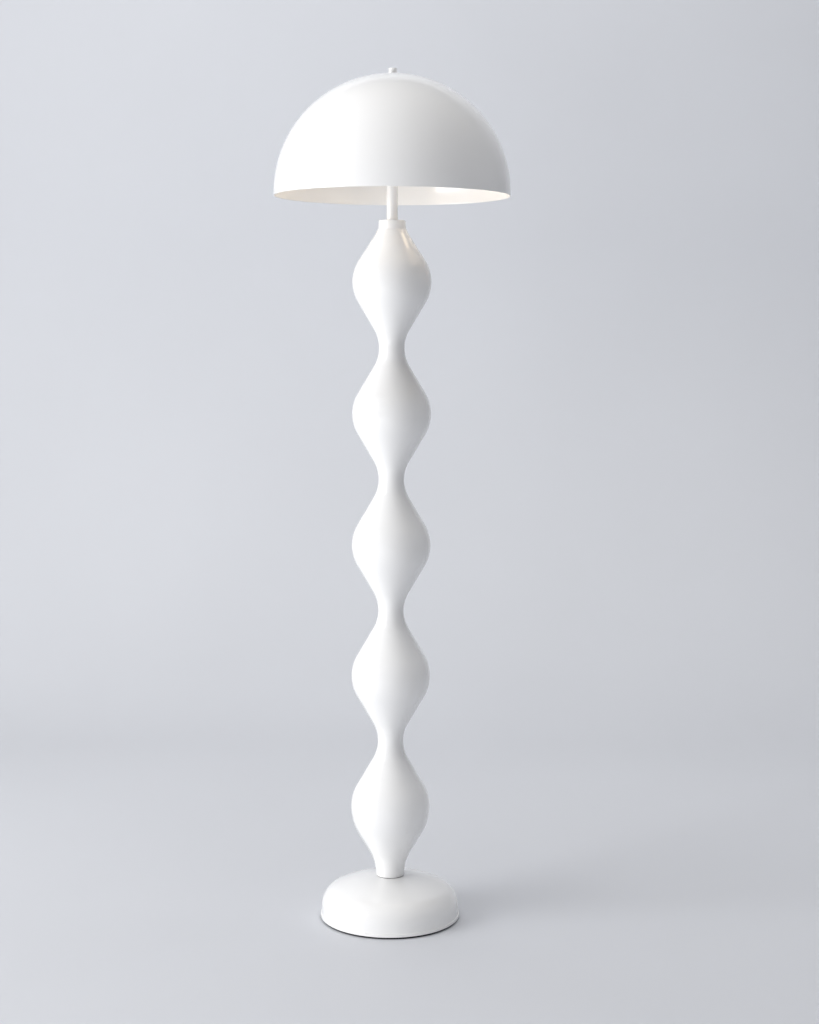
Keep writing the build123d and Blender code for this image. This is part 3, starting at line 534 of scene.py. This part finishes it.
    @classmethod
    def hex_nut(cls, name: str, flats: float, bore: float, bottom: float, top: float) -> bpy.types.Object:
        """A hexagonal nut with its corners turned off.

        Args:
            name: Its name.
            flats: Its width across flats.
            bore: Radius of its bore.
            bottom: Height of its foot.
            top: Height of its top.

        Returns:
            The nut.
        """
        half = radians(30)
        corner = flats / 2 / cos(half)
        edge, wide = (corner - flats / 2) * tan(half), corner * 1.01
        outline = Outline().to(bore, bottom, 0.0003).to(flats / 2, bottom).to(wide, bottom + edge)
        outline.to(wide, top - edge).to(flats / 2, top).to(bore, top, 0.0003)
        hexagon = cls.prism(6, corner, bottom - edge, top + edge)
        return cls.combine(cls.turn(name, outline, 72), hexagon, "INTERSECT")

    @classmethod
    def thread(cls, name: str, radius: float, bottom: float, top: float) -> bpy.types.Object:
        """A rod with a real helical thread.

        Args:
            name: Its name.
            radius: Its outer radius.
            bottom: Height of its foot.
            top: Height of its top.

        Returns:
            The rod.
        """
        pitch = cls.PITCH
        root = radius - pitch * 0.6
        turns = int((top - bottom) / pitch) - 1
        rod = cls._start(name, (root, 0, bottom))
        for out, up in ((radius - root, pitch * 0.42), (0.0, pitch * 0.08), (root - radius, pitch * 0.5)):
            bpy.ops.mesh.extrude_region_move(TRANSFORM_OT_translate={"value": (out, 0, up)})
        bpy.ops.object.mode_set(mode="OBJECT")
        cls.pick(rod)
        helix = rod.modifiers.new("helix", "SCREW")
        helix.angle, helix.screw_offset, helix.iterations = 2 * pi, pitch, turns
        helix.steps = helix.render_steps = 24
        bpy.ops.object.modifier_apply(modifier=helix.name)
        bpy.ops.object.mode_set(mode="EDIT")
        bpy.ops.mesh.select_all(action="SELECT")
        bpy.ops.mesh.remove_doubles(threshold=cls.SAME)
        bpy.ops.mesh.select_all(action="DESELECT")
        bpy.ops.mesh.select_non_manifold(extend=False)
        bpy.ops.mesh.fill_holes(sides=0)
        bpy.ops.mesh.select_all(action="SELECT")
        bpy.ops.mesh.normals_make_consistent(inside=False)
        bpy.ops.object.mode_set(mode="OBJECT")
        return cls.settle(rod)


# ---- sub-assemblies
@dataclass
class Assembly:
    """A group of pieces of the lamp, with the finishes that they are dressed in."""

    paints: Paints

    def fit(self, piece: bpy.types.Object, body: str, slot: str, *nodes: str) -> None:
        """Dresses a finished piece and puts it in place of its nodes.

        Args:
            piece: The piece.
            body: The body that it rides on.
            slot: Its material slot.
            nodes: The nodes that it stands for.
        """
        self.paints.dress(piece, slot)
        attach(piece, body)
        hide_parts(*nodes)
        log.info("%s rides on %s, %d faces", piece.name, body, len(piece.data.polygons))


def span(node: str) -> Place:
    """Lowest and highest height of a node."""
    low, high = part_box(node)
    return low.z, high.z


def reach(node: str) -> float:
    """Largest distance of an upright turned node from the axis."""
    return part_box(node)[1].x


@dataclass
class Base(Assembly):
    """The pebble-shaped base with its lip, pad and cord bushing."""

    wall: float = 0.0015
    shoulder_arc: float = 0.037
    lip_step: float = 0.0020
    lip_height: float = 0.0042
    side_top: float = 0.0227
    crown_height: float = 0.0743
    bore: float = PIPE_HOLE
    pad_edge: float = 0.0006
    screw_head: float = 0.004
    screw_hole: float = 0.0055
    screw_turns: tuple[int, ...] = (270, 30, 150)
    cord_radius: float = 0.0036
    bushing_neck: float = 0.0047
    bushing_flange: float = 0.002
    bushing_tail: float = 0.0035
    bushing_taper: float = 0.0005
    bushing_catch: float = 0.0007
    drill_start: float = 0.012
    drill_end: float = 0.006
    steps: int = 160

    def build(self) -> None:
        """Builds the base's pieces."""
        self._shell()
        self._pad()
        self._bushing()

    def _shell(self) -> None:
        """The spun shell, cut for the bushing."""
        bottom, seat = span("base_shell")
        side = reach("base_shell") - self.lip_step
        centre_r = side - self.shoulder_arc
        rise = bottom + self.crown_height - self.side_top
        crown = (centre_r**2 + rise**2 - self.shoulder_arc**2) / (2 * (rise - self.shoulder_arc))
        crown_z = bottom + self.crown_height - crown
        turn = degrees(atan2(self.side_top - crown_z, centre_r))
        half, lip_top = self.lip_step / 2, bottom + self.lip_height
        under = seat - self.wall

        def crown_angle(depth: float, height: float) -> float:
            """Angle in degrees, so deep under the paint, at which the crown ends in its flat."""
            return degrees(asin((height - crown_z) / (crown - depth)))

        outline = Outline().to(self.bore, seat)
        outline.arc((0, crown_z), crown, crown_angle(0, seat), turn, 30)
        outline.arc((centre_r, self.side_top), self.shoulder_arc, turn, 0, 36)
        outline.to(side, (self.side_top + lip_top + self.lip_step) / 2)
        outline.arc((side + half, lip_top + self.lip_step), half, 180, 270, 8)
        outline.arc((side + half, lip_top), half, 90, 0, 8)
        outline.to(side + self.lip_step, bottom, self.wall / 2).to(side - self.wall, bottom)
        outline.arc((centre_r, self.side_top), self.shoulder_arc - self.wall, 0, turn, 16)
        outline.arc((0, crown_z), crown - self.wall, turn, crown_angle(self.wall, under), 12)
        outline.to(self.bore, under)
        shell = Bench.turn("base_cover", outline, self.steps)
        hole = Bench.prism(48, self.bushing_neck + PUSH_GAP, side - self.drill_start, side + self.drill_end)
        Bench.lay(hole, (-90, 0, 0), (0, 0, self.side_top))
        self.fit(Bench.combine(shell, hole, "DIFFERENCE"), "lamp", "white_enamel", "base_shell")

    def _pad(self) -> None:
        """The foam pad, with its screw holes."""
        bottom, top = span("foot_pad")
        radius = reach("foot_pad")
        pad = Bench.turn("foam_pad", Outline().to(0, bottom).to(radius, bottom, self.pad_edge)
                         .to(radius, top, self.pad_edge).to(0, top), self.steps, closed=False)
        low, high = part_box("plate_screws")
        circle = (high.y - low.y - 2 * self.screw_head) / (1 + sin(radians(30)))
        for turn in self.screw_turns:
            hole = Bench.prism(40, self.screw_hole, bottom - OVERCUT, top + OVERCUT)
            Bench.lay(hole, (0, 0, 0), (circle * cos(radians(turn)), circle * sin(radians(turn)), 0))
            pad = Bench.combine(pad, hole, "DIFFERENCE")
        self.fit(pad, "lamp", "black_foam", "foot_pad")

    def _bushing(self) -> None:
        """The snap-in bushing, turned upright and laid towards the back."""
        low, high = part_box("cord_bushing")
        flange, neck = (high.x - low.x) / 2, self.bushing_neck
        start, catch = high.y - self.bushing_flange, low.y + self.bushing_tail
        outline = Outline().to(self.cord_radius, low.y, 0.0004).to(neck - self.bushing_taper, low.y, 0.0003)
        outline.to(neck + self.bushing_catch, catch).to(neck, catch).to(neck, start)
        outline.to(flange, start, 0.0003).to(flange, high.y, 0.0011).to(self.cord_radius, high.y, 0.0009)
        bushing = Bench.turn("cord_grommet", outline, 64)
        Bench.lay(bushing, (-90, 0, 0), (0, 0, (low.z + high.z) / 2))
        self.fit(bushing, "lamp", "white_nylon", "cord_bushing")


@dataclass(frozen=True)
class Flank:
    """One side of a bead: a bulge, a straight part and a neck."""

    slope: float
    bulge_share: float
    bead_radius: float
    neck_radius: float
    neck_rise: float
    end_rise: float
    steps: int = 26

    def points(self, middle: float, way: int, depth: float) -> list[Place]:
        """The flank's points, from the bead's middle to its end.

        Args:
            middle: Height of the bead's middle.
            way: 1 for the upper side and -1 for the lower one.
            depth: Depth below the painted surface.

        Returns:
            The points, in order.
        """
        out, up = cos(radians(self.slope)), sin(radians(self.slope))
        both = (self.neck_rise * up - (self.bead_radius - self.neck_radius) * out) / (1 - out)
        bulge, neck = self.bulge_share * both, (1 - self.bulge_share) * both
        left = max(self.neck_rise - self.end_rise, 0.0)
        last = degrees(asin(left / (neck + depth)))
        run = Outline()
        run.arc((self.bead_radius - bulge, middle), bulge - depth, 0, way * self.slope, self.steps)
        run.arc((self.neck_radius + neck, middle + way * self.neck_rise), neck + depth,
                180 + way * self.slope, 180 + way * last, self.steps)
        if self.end_rise > self.neck_rise:
            run.to(self.neck_radius - depth, middle + way * self.end_rise)
        return run.points(closed=False)


@dataclass
class Column(Assembly):
    """The five turned beads, the dark foot ring, the collar and the stem."""

    count: int = 5
    wall: float = 0.0015
    slope: float = 30.62
    bulge_share: float = 0.539
    neck_radius: float = 0.02315
    foot_slope: float = 31.49
    foot_share: float = 0.541
    foot_radius: float = 0.0258
    foot_straight: float = 0.0012
    top_slope: float = 32.85
    top_share: float = 0.48
    top_neck_radius: float = 0.0204
    top_neck_rise: float = 0.1243
    bore: float = PIPE_HOLE
    collar_taper: float = 0.0009
    collar_edge: float = 0.0011
    collar_deck: float = 0.008
    spigot_inset: float = 0.0018
    spigot_wall: float = 0.0024
    socket_depth: float = 0.005
    steps: int = 160

    def build(self) -> None:
        """Builds the column's pieces from the floor up."""
        for number in range(1, self.count + 1):
            self._bead(number)
        self._foot_ring()
        self._collar()
        self._stem()

    def _bead(self, number: int) -> None:
        """One hollow bead.

        Args:
            number: Its number, from 1 at the floor.
        """
        node = f"column_section_{number}"
        low, high = span(node)
        bead = reach(node)
        pitch = span("column_section_3")[1] - span("column_section_3")[0]
        middle = high - pitch / 2 if number == 1 else low + pitch / 2
        below = above = Flank(self.slope, self.bulge_share, bead, self.neck_radius, pitch / 2, pitch / 2)
        if number == 1:
            drop = middle - low
            below = Flank(self.foot_slope, self.foot_share, bead, self.foot_radius,
                          drop - self.foot_straight, drop)
        if number == self.count:
            above = Flank(self.top_slope, self.top_share, bead, self.top_neck_radius, self.top_neck_rise,
                          high - middle)
        outline = Outline()
        for depth, way in ((0.0, 1), (self.wall, -1)):
            lower, upper = below.points(middle, -1, depth)[::-1], above.points(middle, 1, depth)
            outline.add((lower + upper[1:])[::way])
        self.fit(Bench.turn(f"column_bead_{number}", outline, self.steps), "lamp", "white_enamel", node)

    def _foot_ring(self) -> None:
        """The ring whose dark edge shows under the column."""
        bottom, top = span("foot_ring")
        seat = span("column_section_1")[0]
        radius = reach("foot_ring")
        spigot = self.foot_radius - self.wall - PUSH_GAP
        ring = Outline().to(self.bore, bottom).to(radius, bottom).to(radius, seat, 0.0002).to(spigot, seat)
        ring.to(spigot, top, 0.0006).to(self.bore, top)
        self.fit(Bench.turn("foot_joint", ring), "lamp", "dark_ring", "foot_ring")

    def _collar(self) -> None:
        """The short collar on the top bead."""
        low, top = span("collar_cap")
        seat = span("column_section_5")[1]
        bottom_radius = reach("collar_cap")
        top_radius, socket = bottom_radius - self.collar_taper, reach("stem_tube") + PUSH_GAP
        spigot = bottom_radius - self.spigot_inset
        inside, deck = spigot - self.spigot_wall, top - self.collar_deck
        collar = Outline().to(self.bore, deck).to(inside, deck).to(inside, low).to(spigot, low)
        collar.to(spigot, seat).to(bottom_radius, seat, 0.0004)
        collar.to(top_radius, top, self.collar_edge).to(socket, top, 0.0003)
        collar.to(socket, top - self.socket_depth).to(self.bore, top - self.socket_depth)
        self.fit(Bench.turn("collar", collar), "lamp", "white_enamel", "collar_cap")

    def _stem(self) -> None:
        """The slim stem."""
        bottom, top = span("stem_tube")
        radius = reach("stem_tube")
        stem = Outline().to(radius - self.wall, bottom).to(radius, bottom)
        stem.add([(radius, bottom + (top - bottom) * share / 8) for share in range(1, 8)])
        stem.to(radius, top, 0.0003).to(radius - self.wall, top)
        self.fit(Bench.turn("stem", stem), "lamp", "white_enamel", "stem_tube")


@dataclass
class Head(Assembly):
    """The cluster under the shade, with its arms, lampholders, switch and bulbs."""

    wall: float = 0.002
    floor: float = 0.004
    edge: float = 0.001
    bore: float = PIPE_HOLE
    rod_hole: float = 0.0031
    arm_hole: float = 0.0051
    switch_hole: float = 0.005
    spigot_inset: float = 0.0016
    lip_wall: float = 0.002
    nut_bore: float = 0.00495
    knob_stem: float = 0.002
    knob_length: float = 0.012
    knob_dish: float = 0.0006
    flutes: int = 12
    flute_radius: float = 0.001
    flute_start: float = 0.003
    holder_back: float = 0.012
    holder_bore: float = 0.0141
    holder_hole: float = 0.00505
    holder_floor: float = 0.005
    holder_shoulder: float = 0.008
    shoulder_rise: float = 0.009
    lip_step: float = 0.001
    rib_start: float = 0.014
    rib_end: float = 0.036
    rib_count: int = 24
    rib_height: float = 0.0006
    rib_inset: float = 0.0002
    rib_band: float = 0.97
    cap_tip: float = 0.0045
    cap_contact: float = 0.0014
    cap_shoulder: float = 0.003
    cap_turns: int = 5
    cap_pitch: float = 0.0036
    cap_thread: float = 0.001
    bulb_foot: float = 0.0144
    bulb_swell: float = 0.0016
    globe_radius: float = 0.030
    globe_start: float = -17.1
    glass: float = 0.0012

    SIDES = {"left": -1, "right": 1}

    def build(self) -> None:
        """Builds the head's pieces."""
        self.arm_z = (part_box("bulb_globe_right")[0].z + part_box("bulb_globe_right")[1].z) / 2
        self._cluster()
        self._switch()
        for word in self.SIDES:
            self._nipple(word)
            self._holder(word)
            self._bulb(word)

    def _along_arm(self, piece: bpy.types.Object, word: str) -> bpy.types.Object:
        """Lays an upright piece onto the arm of one side."""
        return Bench.lay(piece, (0, 90 * self.SIDES[word], 0), (0, 0, self.arm_z))

    def _cluster(self) -> None:
        """The turned cup and its lid."""
        low, top = span("cluster_body")
        radius = reach("cluster_body")
        inside, face = radius - self.wall, span("stem_tube")[1]
        spigot = reach("stem_tube") - self.spigot_inset
        cup = Outline().to(self.bore, low).to(spigot, low).to(spigot, face).to(radius, face, self.edge)
        cup.to(radius, top).to(inside, top).to(inside, face + self.floor).to(self.bore, face + self.floor)
        body = Bench.turn("cluster_cup", cup)
        holes = (((0, 90, 0), self.arm_hole), ((0, -90, 0), self.arm_hole), ((-90, 0, 0), self.switch_hole))
        for turn, hole in holes:
            cutter = Bench.prism(40, hole, inside - self.wall, radius + self.edge)
            body = Bench.combine(body, Bench.lay(cutter, turn, (0, 0, self.arm_z)), "DIFFERENCE")
        self.fit(body, "lamp", "white_enamel", "cluster_body")
        lip, lid_top = span("cluster_lid")
        outside = inside - PUSH_GAP
        lid = Outline().to(self.rod_hole, top).to(outside - self.lip_wall, top)
        lid.to(outside - self.lip_wall, lip).to(outside, lip).to(outside, top).to(radius, top, 0.0002)
        lid.to(radius, lid_top, self.edge).to(self.rod_hole, lid_top, 0.0003)
        self.fit(Bench.turn("cluster_cover", lid), "lamp", "white_enamel", "cluster_lid")

    def _switch(self) -> None:
        """The hexagonal nut and the fluted knob at the back."""
        low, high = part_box("switch_nut")
        nut = Bench.hex_nut("switch_collar_nut", high.z - low.z, self.nut_bore, low.y, high.y)
        self.fit(Bench.lay(nut, (-90, 0, 0), (0, 0, self.arm_z)), "lamp", "brass", "switch_nut")
        low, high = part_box("switch_knob")
        radius, start = (high.x - low.x) / 2, high.y - self.knob_length
        knob = Outline().to(0, low.y).to(self.knob_stem, low.y, 0.0002).to(self.knob_stem, start)
        knob.to(radius, start, 0.0008).to(radius, high.y, 0.0012).to(radius * 0.62, high.y, 0.0004)
        knob.to(radius * 0.55, high.y - self.knob_dish).to(0, high.y - self.knob_dish)
        turned = Bench.turn("knob", knob, 96, closed=False)
        for number in range(self.flutes):
            flute = Bench.prism(20, self.flute_radius, start + self.flute_start, high.y + OVERCUT)
            angle = 2 * pi * number / self.flutes
            Bench.lay(flute, (0, 0, 0), (radius * cos(angle), radius * sin(angle), 0))
            turned = Bench.combine(turned, flute, "DIFFERENCE")
        Bench.lay(turned, (-90, 0, 0), (0, 0, self.arm_z))
        self.fit(turned, "switch_knob", "black_phenolic", "switch_knob")

    def _nipple(self, word: str) -> None:
        """A threaded arm.

        Args:
            word: The side's word in the nodes' names.
        """
        low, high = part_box("arm_nipple_right")
        nipple = Bench.thread(f"arm_{word}", (high.z - low.z) / 2, low.x, high.x)
        self.fit(self._along_arm(nipple, word), "lamp", "zinc_steel", f"arm_nipple_{word}")

    def _holder(self, word: str) -> None:
        """A lampholder's cup, with grip ribs round it.

        Args:
            word: The side's word in the nodes' names.
        """
        low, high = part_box("socket_cup_right")
        lip = (high.z - low.z) / 2
        radius, bore, end = lip - self.lip_step, self.holder_bore, high.x
        start, stop, floor = low.x + self.rib_start, low.x + self.rib_end, low.x + self.holder_floor
        shoulder = self.holder_shoulder
        cup = Outline().to(self.holder_hole, low.x).to(self.holder_back, low.x, 0.0006)
        cup.arc((radius - shoulder, low.x + self.shoulder_rise), shoulder, -48, 0, 10)
        cup.to(radius, start).to(radius, stop).to(radius, end - 0.004)
        cup.to(lip, end - 0.003, 0.0003).to(lip, end, 0.0006).to(bore, end, 0.0004)
        cup.to(bore, floor).to(self.holder_hole, floor)
        holder = Bench.turn(f"lampholder_{word}", cup, self.rib_count * 4)
        self._rib(holder, start, stop, radius)
        self.fit(self._along_arm(holder, word), "lamp", "white_phenolic", f"socket_cup_{word}")

    def _rib(self, holder: bpy.types.Object, start: float, end: float, radius: float) -> None:
        """Raises grip ribs on an upright cup.

        Args:
            holder: The cup.
            start: Where the ribs start.
            end: Where they end.
            radius: The cup's radius there.
        """

        def raised(face: bmesh.types.BMFace) -> bool:
            """Whether a face is part of a rib."""
            spot = face.calc_center_median()
            return (start < spot.z < end and hypot(spot.x, spot.y) > radius * self.rib_band
                    and atan2(spot.y, spot.x) % (2 * pi) / (2 * pi) * self.rib_count % 1.0 < 0.5)

        Bench.pick(holder)
        bpy.ops.object.mode_set(mode="EDIT")
        Bench.select(holder, "FACE", raised)
        bpy.ops.mesh.inset(thickness=self.rib_inset, depth=self.rib_height, use_even_offset=True)
        bpy.ops.mesh.select_mode(type="VERT")
        bpy.ops.object.mode_set(mode="OBJECT")
        Bench.settle(holder)

    def _bulb(self, word: str) -> None:
        """A bulb: its screw cap, body and globe.

        Args:
            word: The side's word in the nodes' names.
        """
        body_name = f"bulb_{word}"
        low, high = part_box("bulb_cap_right")
        radius = (high.z - low.z) / 2
        contact = low.x + self.cap_contact
        shoulder = contact + self.cap_shoulder
        cap = Outline().to(0, low.x).to(self.cap_tip, low.x, 0.0008).to(self.cap_tip, contact)
        cap.to(radius - self.cap_shoulder, contact).to(radius, shoulder)
        for number in range(self.cap_turns):
            height = shoulder + (number + 0.5) * self.cap_pitch
            cap.arc((radius + 0.0004, height), self.cap_thread, 235, 125, 8)
        cap.to(radius, high.x).to(0, high.x)
        self.fit(self._along_arm(Bench.turn(f"bulb_screw_{word}", cap, 72, closed=False), word),
                 body_name, "nickel", f"bulb_cap_{word}")
        low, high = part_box("bulb_body_right")
        radius, base = (high.z - low.z) / 2, self.bulb_foot
        body = Outline().to(0, low.x).to(base, low.x, 0.0005)
        flare, length = radius - base, high.x - low.x
        chord = hypot(flare, length)
        for step in range(1, 16):
            share = step / 16
            swell = self.bulb_swell * sin(pi * share)
            body.to(base + flare * share + swell * length / chord,
                    low.x + length * share - swell * flare / chord)
        body.to(radius, high.x - 0.0006, 0.0002).to(radius - 0.0004, high.x).to(0, high.x)
        self.fit(self._along_arm(Bench.turn(f"bulb_base_{word}", body, 96, closed=False), word),
                 body_name, "bulb_plastic", f"bulb_body_{word}")
        foot, globe = radius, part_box("bulb_globe_right")
        centre = globe[1].x - self.globe_radius
        shell = Outline()
        for depth, order in ((0.0, 1), (self.glass, -1)):
            run = Outline().to(foot - depth, globe[0].x)
            run.arc((0, centre), self.globe_radius - depth, self.globe_start, 90, 40)
            shell.add([(max(r, 0.0), z) for r, z in run.points(closed=False)][::order])
        self.fit(self._along_arm(Bench.turn(f"bulb_glass_{word}", shell, 96), word),
                 body_name, "opal_glass", f"bulb_globe_{word}")


@dataclass
class Shade(Assembly):
    """The spun shade, the rod and seat that carry it, and the finial."""

    wall: float = 0.0015
    skirt: float = 0.0062
    hole: float = 0.0033
    rod_bore: float = 0.00305
    seat_hole: float = 0.0031
    seat_foot: float = 0.008
    seat_face: float = 0.010
    seat_edge: tuple[float, float] = (0.0033, 0.0018)
    nut_thickness: float = 0.005
    finial_bore: float = 0.008
    finial_edge: float = 0.0016
    steps: int = 192

    def build(self) -> None:
        """Builds the shade and what carries it."""
        self._shade()
        self._carrier()
        self._finial()

    def _shade(self) -> None:
        """The thin hemisphere with its short skirt and rounded rim."""
        rim, crown = span("shade")
        radius = reach("shade")
        centre = rim + self.skirt
        inside = radius - self.wall
        under = crown - self.wall
        outer = degrees(asin((crown - centre) / radius))
        inner = degrees(asin((under - centre) / inside))
        dome = Outline().to(self.hole, crown).arc((0, centre), radius, outer, 0, 72)
        dome.to(radius, (centre + rim) / 2)
        dome.arc((radius - self.wall / 2, rim + self.wall / 2), self.wall / 2, 0, -180, 10)
        dome.to(inside, (centre + rim) / 2).arc((0, centre), inside, 0, inner, 72)
        dome.to(self.hole, under)
        self.fit(Bench.turn("dome", dome, self.steps), "shade", "white_enamel", "shade")

    def _carrier(self) -> None:
        """The threaded rod, its nuts, and the seat under the crown."""
        bottom, top = span("shade_rod")
        rod = Bench.thread("carrier_rod", reach("shade_rod"), bottom, top)
        self.fit(rod, "lamp", "zinc_steel", "shade_rod")
        lid, seat = span("cluster_lid")[1], span("shade_seat")
        low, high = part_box("rod_nuts")
        flats, thick = high.y - low.y, self.nut_thickness
        nuts = [Bench.hex_nut("carrier_nuts", flats, self.rod_bore, z, z + thick)
                for z in (low.z, lid, seat[0] - thick)]
        Bench.pick(nuts[0])
        for nut in nuts[1:]:
            nut.select_set(True)
        bpy.ops.object.join()
        self.fit(nuts[0], "lamp", "zinc_steel", "rod_nuts")
        edge = reach("shade_seat")
        disc = Outline().to(self.seat_hole, seat[0]).to(self.seat_foot, seat[0], 0.0004)
        for depth in self.seat_edge:
            disc.to(edge, seat[1] - depth, 0.0004)
        disc.to(self.seat_face, seat[1], 0.0006).to(self.seat_hole, seat[1])
        self.fit(Bench.turn("shade_carrier", disc), "lamp", "zinc_steel", "shade_seat")

    def _finial(self) -> None:
        """The finial and its washer."""
        bottom, top = span("finial_washer")
        radius = reach("finial_washer")
        washer = Outline().to(self.hole, bottom).to(radius, bottom, 0.0002)
        washer.to(radius, top, 0.0002).to(self.hole, top)
        self.fit(Bench.turn("crown_washer", washer, 64), "shade", "white_nylon", "finial_washer")
        bottom, top = span("finial")
        radius = reach("finial")
        inside = bottom + self.finial_bore
        nut = Outline().to(self.rod_bore, bottom).to(radius, bottom, 0.0006)
        nut.to(radius, top, self.finial_edge).to(0, top).to(0, inside).to(self.rod_bore, inside)
        self.fit(Bench.turn("crown_nut", nut), "finial", "white_enamel", "finial")


# ---- studio
@dataclass
class Softbox:
    """One large soft light."""

    name: str
    place: Spot
    aim: Spot
    width: float
    height: float
    power: float
    mirrored: bool = True

    def build(self) -> None:
        """Adds the light, aimed at its target."""
        data = bpy.data.lights.new(self.name, "AREA")
        data.shape, data.size, data.size_y = "RECTANGLE", self.width, self.height
        data.energy = self.power
        light = bpy.data.objects.new(self.name, data)
        light.location = self.place
        light.rotation_euler = (Vector(self.aim) - Vector(self.place)).to_track_quat("-Z", "Y").to_euler()
        light.visible_glossy = self.mirrored
        light.visible_camera = False
        bpy.context.scene.collection.objects.link(light)


@dataclass
class Studio:
    """The camera, the pale round-cornered room that the lamp stands in, and the lights."""

    camera_side: float = 0.0319
    camera_back: float = 3.086
    camera_height: float = 1.0593
    tilt: float = 2.0
    roll: float = -0.20
    focal_pixels: float = 1709.3
    principal_row: float = 394.7
    frame_height: float = 1024.0
    sensor: float = 36.0
    room_width: float = 12.0
    room_front: float = -8.0
    room_back: float = 2.7
    room_height: float = 6.0
    corner_radius: float = 1.4
    corner_steps: int = 24
    floor_colour: Colour = (0.64, 0.655, 0.69)
    floor_tint: float = 0.015
    floor_roughness: float = 0.6
    fibre_size: float = 0.004
    fibre_depth: float = 0.00003
    cloud_size: float = 0.9
    ambient: float = 0.25
    ambient_colour: Colour = (1.0, 0.96, 0.92)

    def build(self) -> None:
        """Builds the studio."""
        self._camera()
        self._room()
        self._lights()
        bpy.context.scene.view_settings.view_transform = "Standard"

    def _camera(self) -> None:
        """The camera at the photograph's place."""
        data = bpy.data.cameras.new("camera")
        data.sensor_width = self.sensor
        data.lens = self.focal_pixels * self.sensor / self.frame_height
        data.shift_y = (self.principal_row - self.frame_height / 2) / self.frame_height
        camera = bpy.data.objects.new("camera", data)
        camera.location = (self.camera_side, -self.camera_back, self.camera_height)
        camera.rotation_euler = (radians(90 - self.tilt), radians(self.roll), 0)
        bpy.context.scene.collection.objects.link(camera)
        bpy.context.scene.camera = camera

    def _room(self) -> None:
        """The pale floor and walls in one piece, open at the top, with wide round corners."""
        Bench.clear()
        bpy.ops.mesh.primitive_cube_add(size=1.0)
        room = bpy.context.object
        room.name = "backdrop"
        room.scale = (self.room_width, self.room_back - self.room_front, self.room_height)
        room.location = (0, (self.room_back + self.room_front) / 2, self.room_height / 2)
        bpy.ops.object.transform_apply(location=True, scale=True)
        bpy.ops.object.mode_set(mode="EDIT")
        Bench.select(room, "FACE", lambda face: face.normal.z > 0.5)
        bpy.ops.mesh.delete(type="FACE")
        Bench.select(room, "EDGE", lambda edge: not edge.is_boundary)
        bpy.ops.mesh.bevel(offset=self.corner_radius, segments=self.corner_steps)
        bpy.ops.mesh.select_mode(type="VERT")
        bpy.ops.mesh.select_all(action="SELECT")
        bpy.ops.mesh.flip_normals()
        bpy.ops.object.mode_set(mode="OBJECT")
        Bench.settle(room)
        shader = Shader("backdrop_paper")
        place = shader.node("ShaderNodeTexCoord", output="Object")
        fibre = shader.noise(place, self.fibre_size, 3.0)
        cloud = shader.noise(place, self.cloud_size)
        shades = (1 - self.floor_tint, 1 + self.floor_tint)
        dark, light = (tuple(c * shade for c in self.floor_colour) for shade in shades)
        colour = shader.node("ShaderNodeValToRGB", {"stops": [(0.3, dark), (0.7, light)]}, {"Fac": cloud})
        bump = shader.node("ShaderNodeBump", None,
                           {"Height": fibre, "Distance": self.fibre_depth, "Strength": 1.0})
        surface = shader.node("ShaderNodeBsdfPrincipled", None,
                              {"Base Color": colour, "Roughness": self.floor_roughness, "Normal": bump})
        shader.node("ShaderNodeOutputMaterial", None, {"Surface": surface})
        room.data.materials.append(shader.material)

    def _lights(self) -> None:
        """The tall key softbox at the left, the ceiling, two fills and the even light of the room."""
        Softbox("key", (-3.19, -1.42, 1.5), (0.0, 0.0, 1.5), 2.5, 2.9, 129.0).build()
        Softbox("ceiling", (0.0, 0.4, 4.5), (0.0, 0.4, 0.0), 4.0, 4.0, 93.0, mirrored=False).build()
        Softbox("front", (-1.8, -4.1, 0.4), (0.0, -0.4, 0.0), 2.4, 0.7, 40.0, mirrored=False).build()
        Softbox("side", (2.9, 0.9, 1.8), (0.0, 0.0, 1.6), 1.4, 1.4, 7.0, mirrored=False).build()
        world = bpy.data.worlds.new("room")
        world.use_nodes = True
        background = world.node_tree.nodes["Background"]
        background.inputs["Color"].default_value = (*self.ambient_colour, 1.0)
        background.inputs["Strength"].default_value = self.ambient
        bpy.context.scene.world = world


def main() -> None:
    """Builds the lamp, dresses the nodes that stay, and sets up the studio."""
    logging.basicConfig(level=logging.INFO, format="%(name)s: %(message)s")
    paints = Paints()
    slots = {row["node"]: row["material_slot"] for row in frame["record"]["subparts"]}
    for node, piece in frame["nodes"].items():
        paints.dress(piece, slots[node])
    for assembly in (Base(paints), Column(paints), Head(paints), Shade(paints)):
        assembly.build()
    Studio().build()


if __name__ == "__main__":
    main()
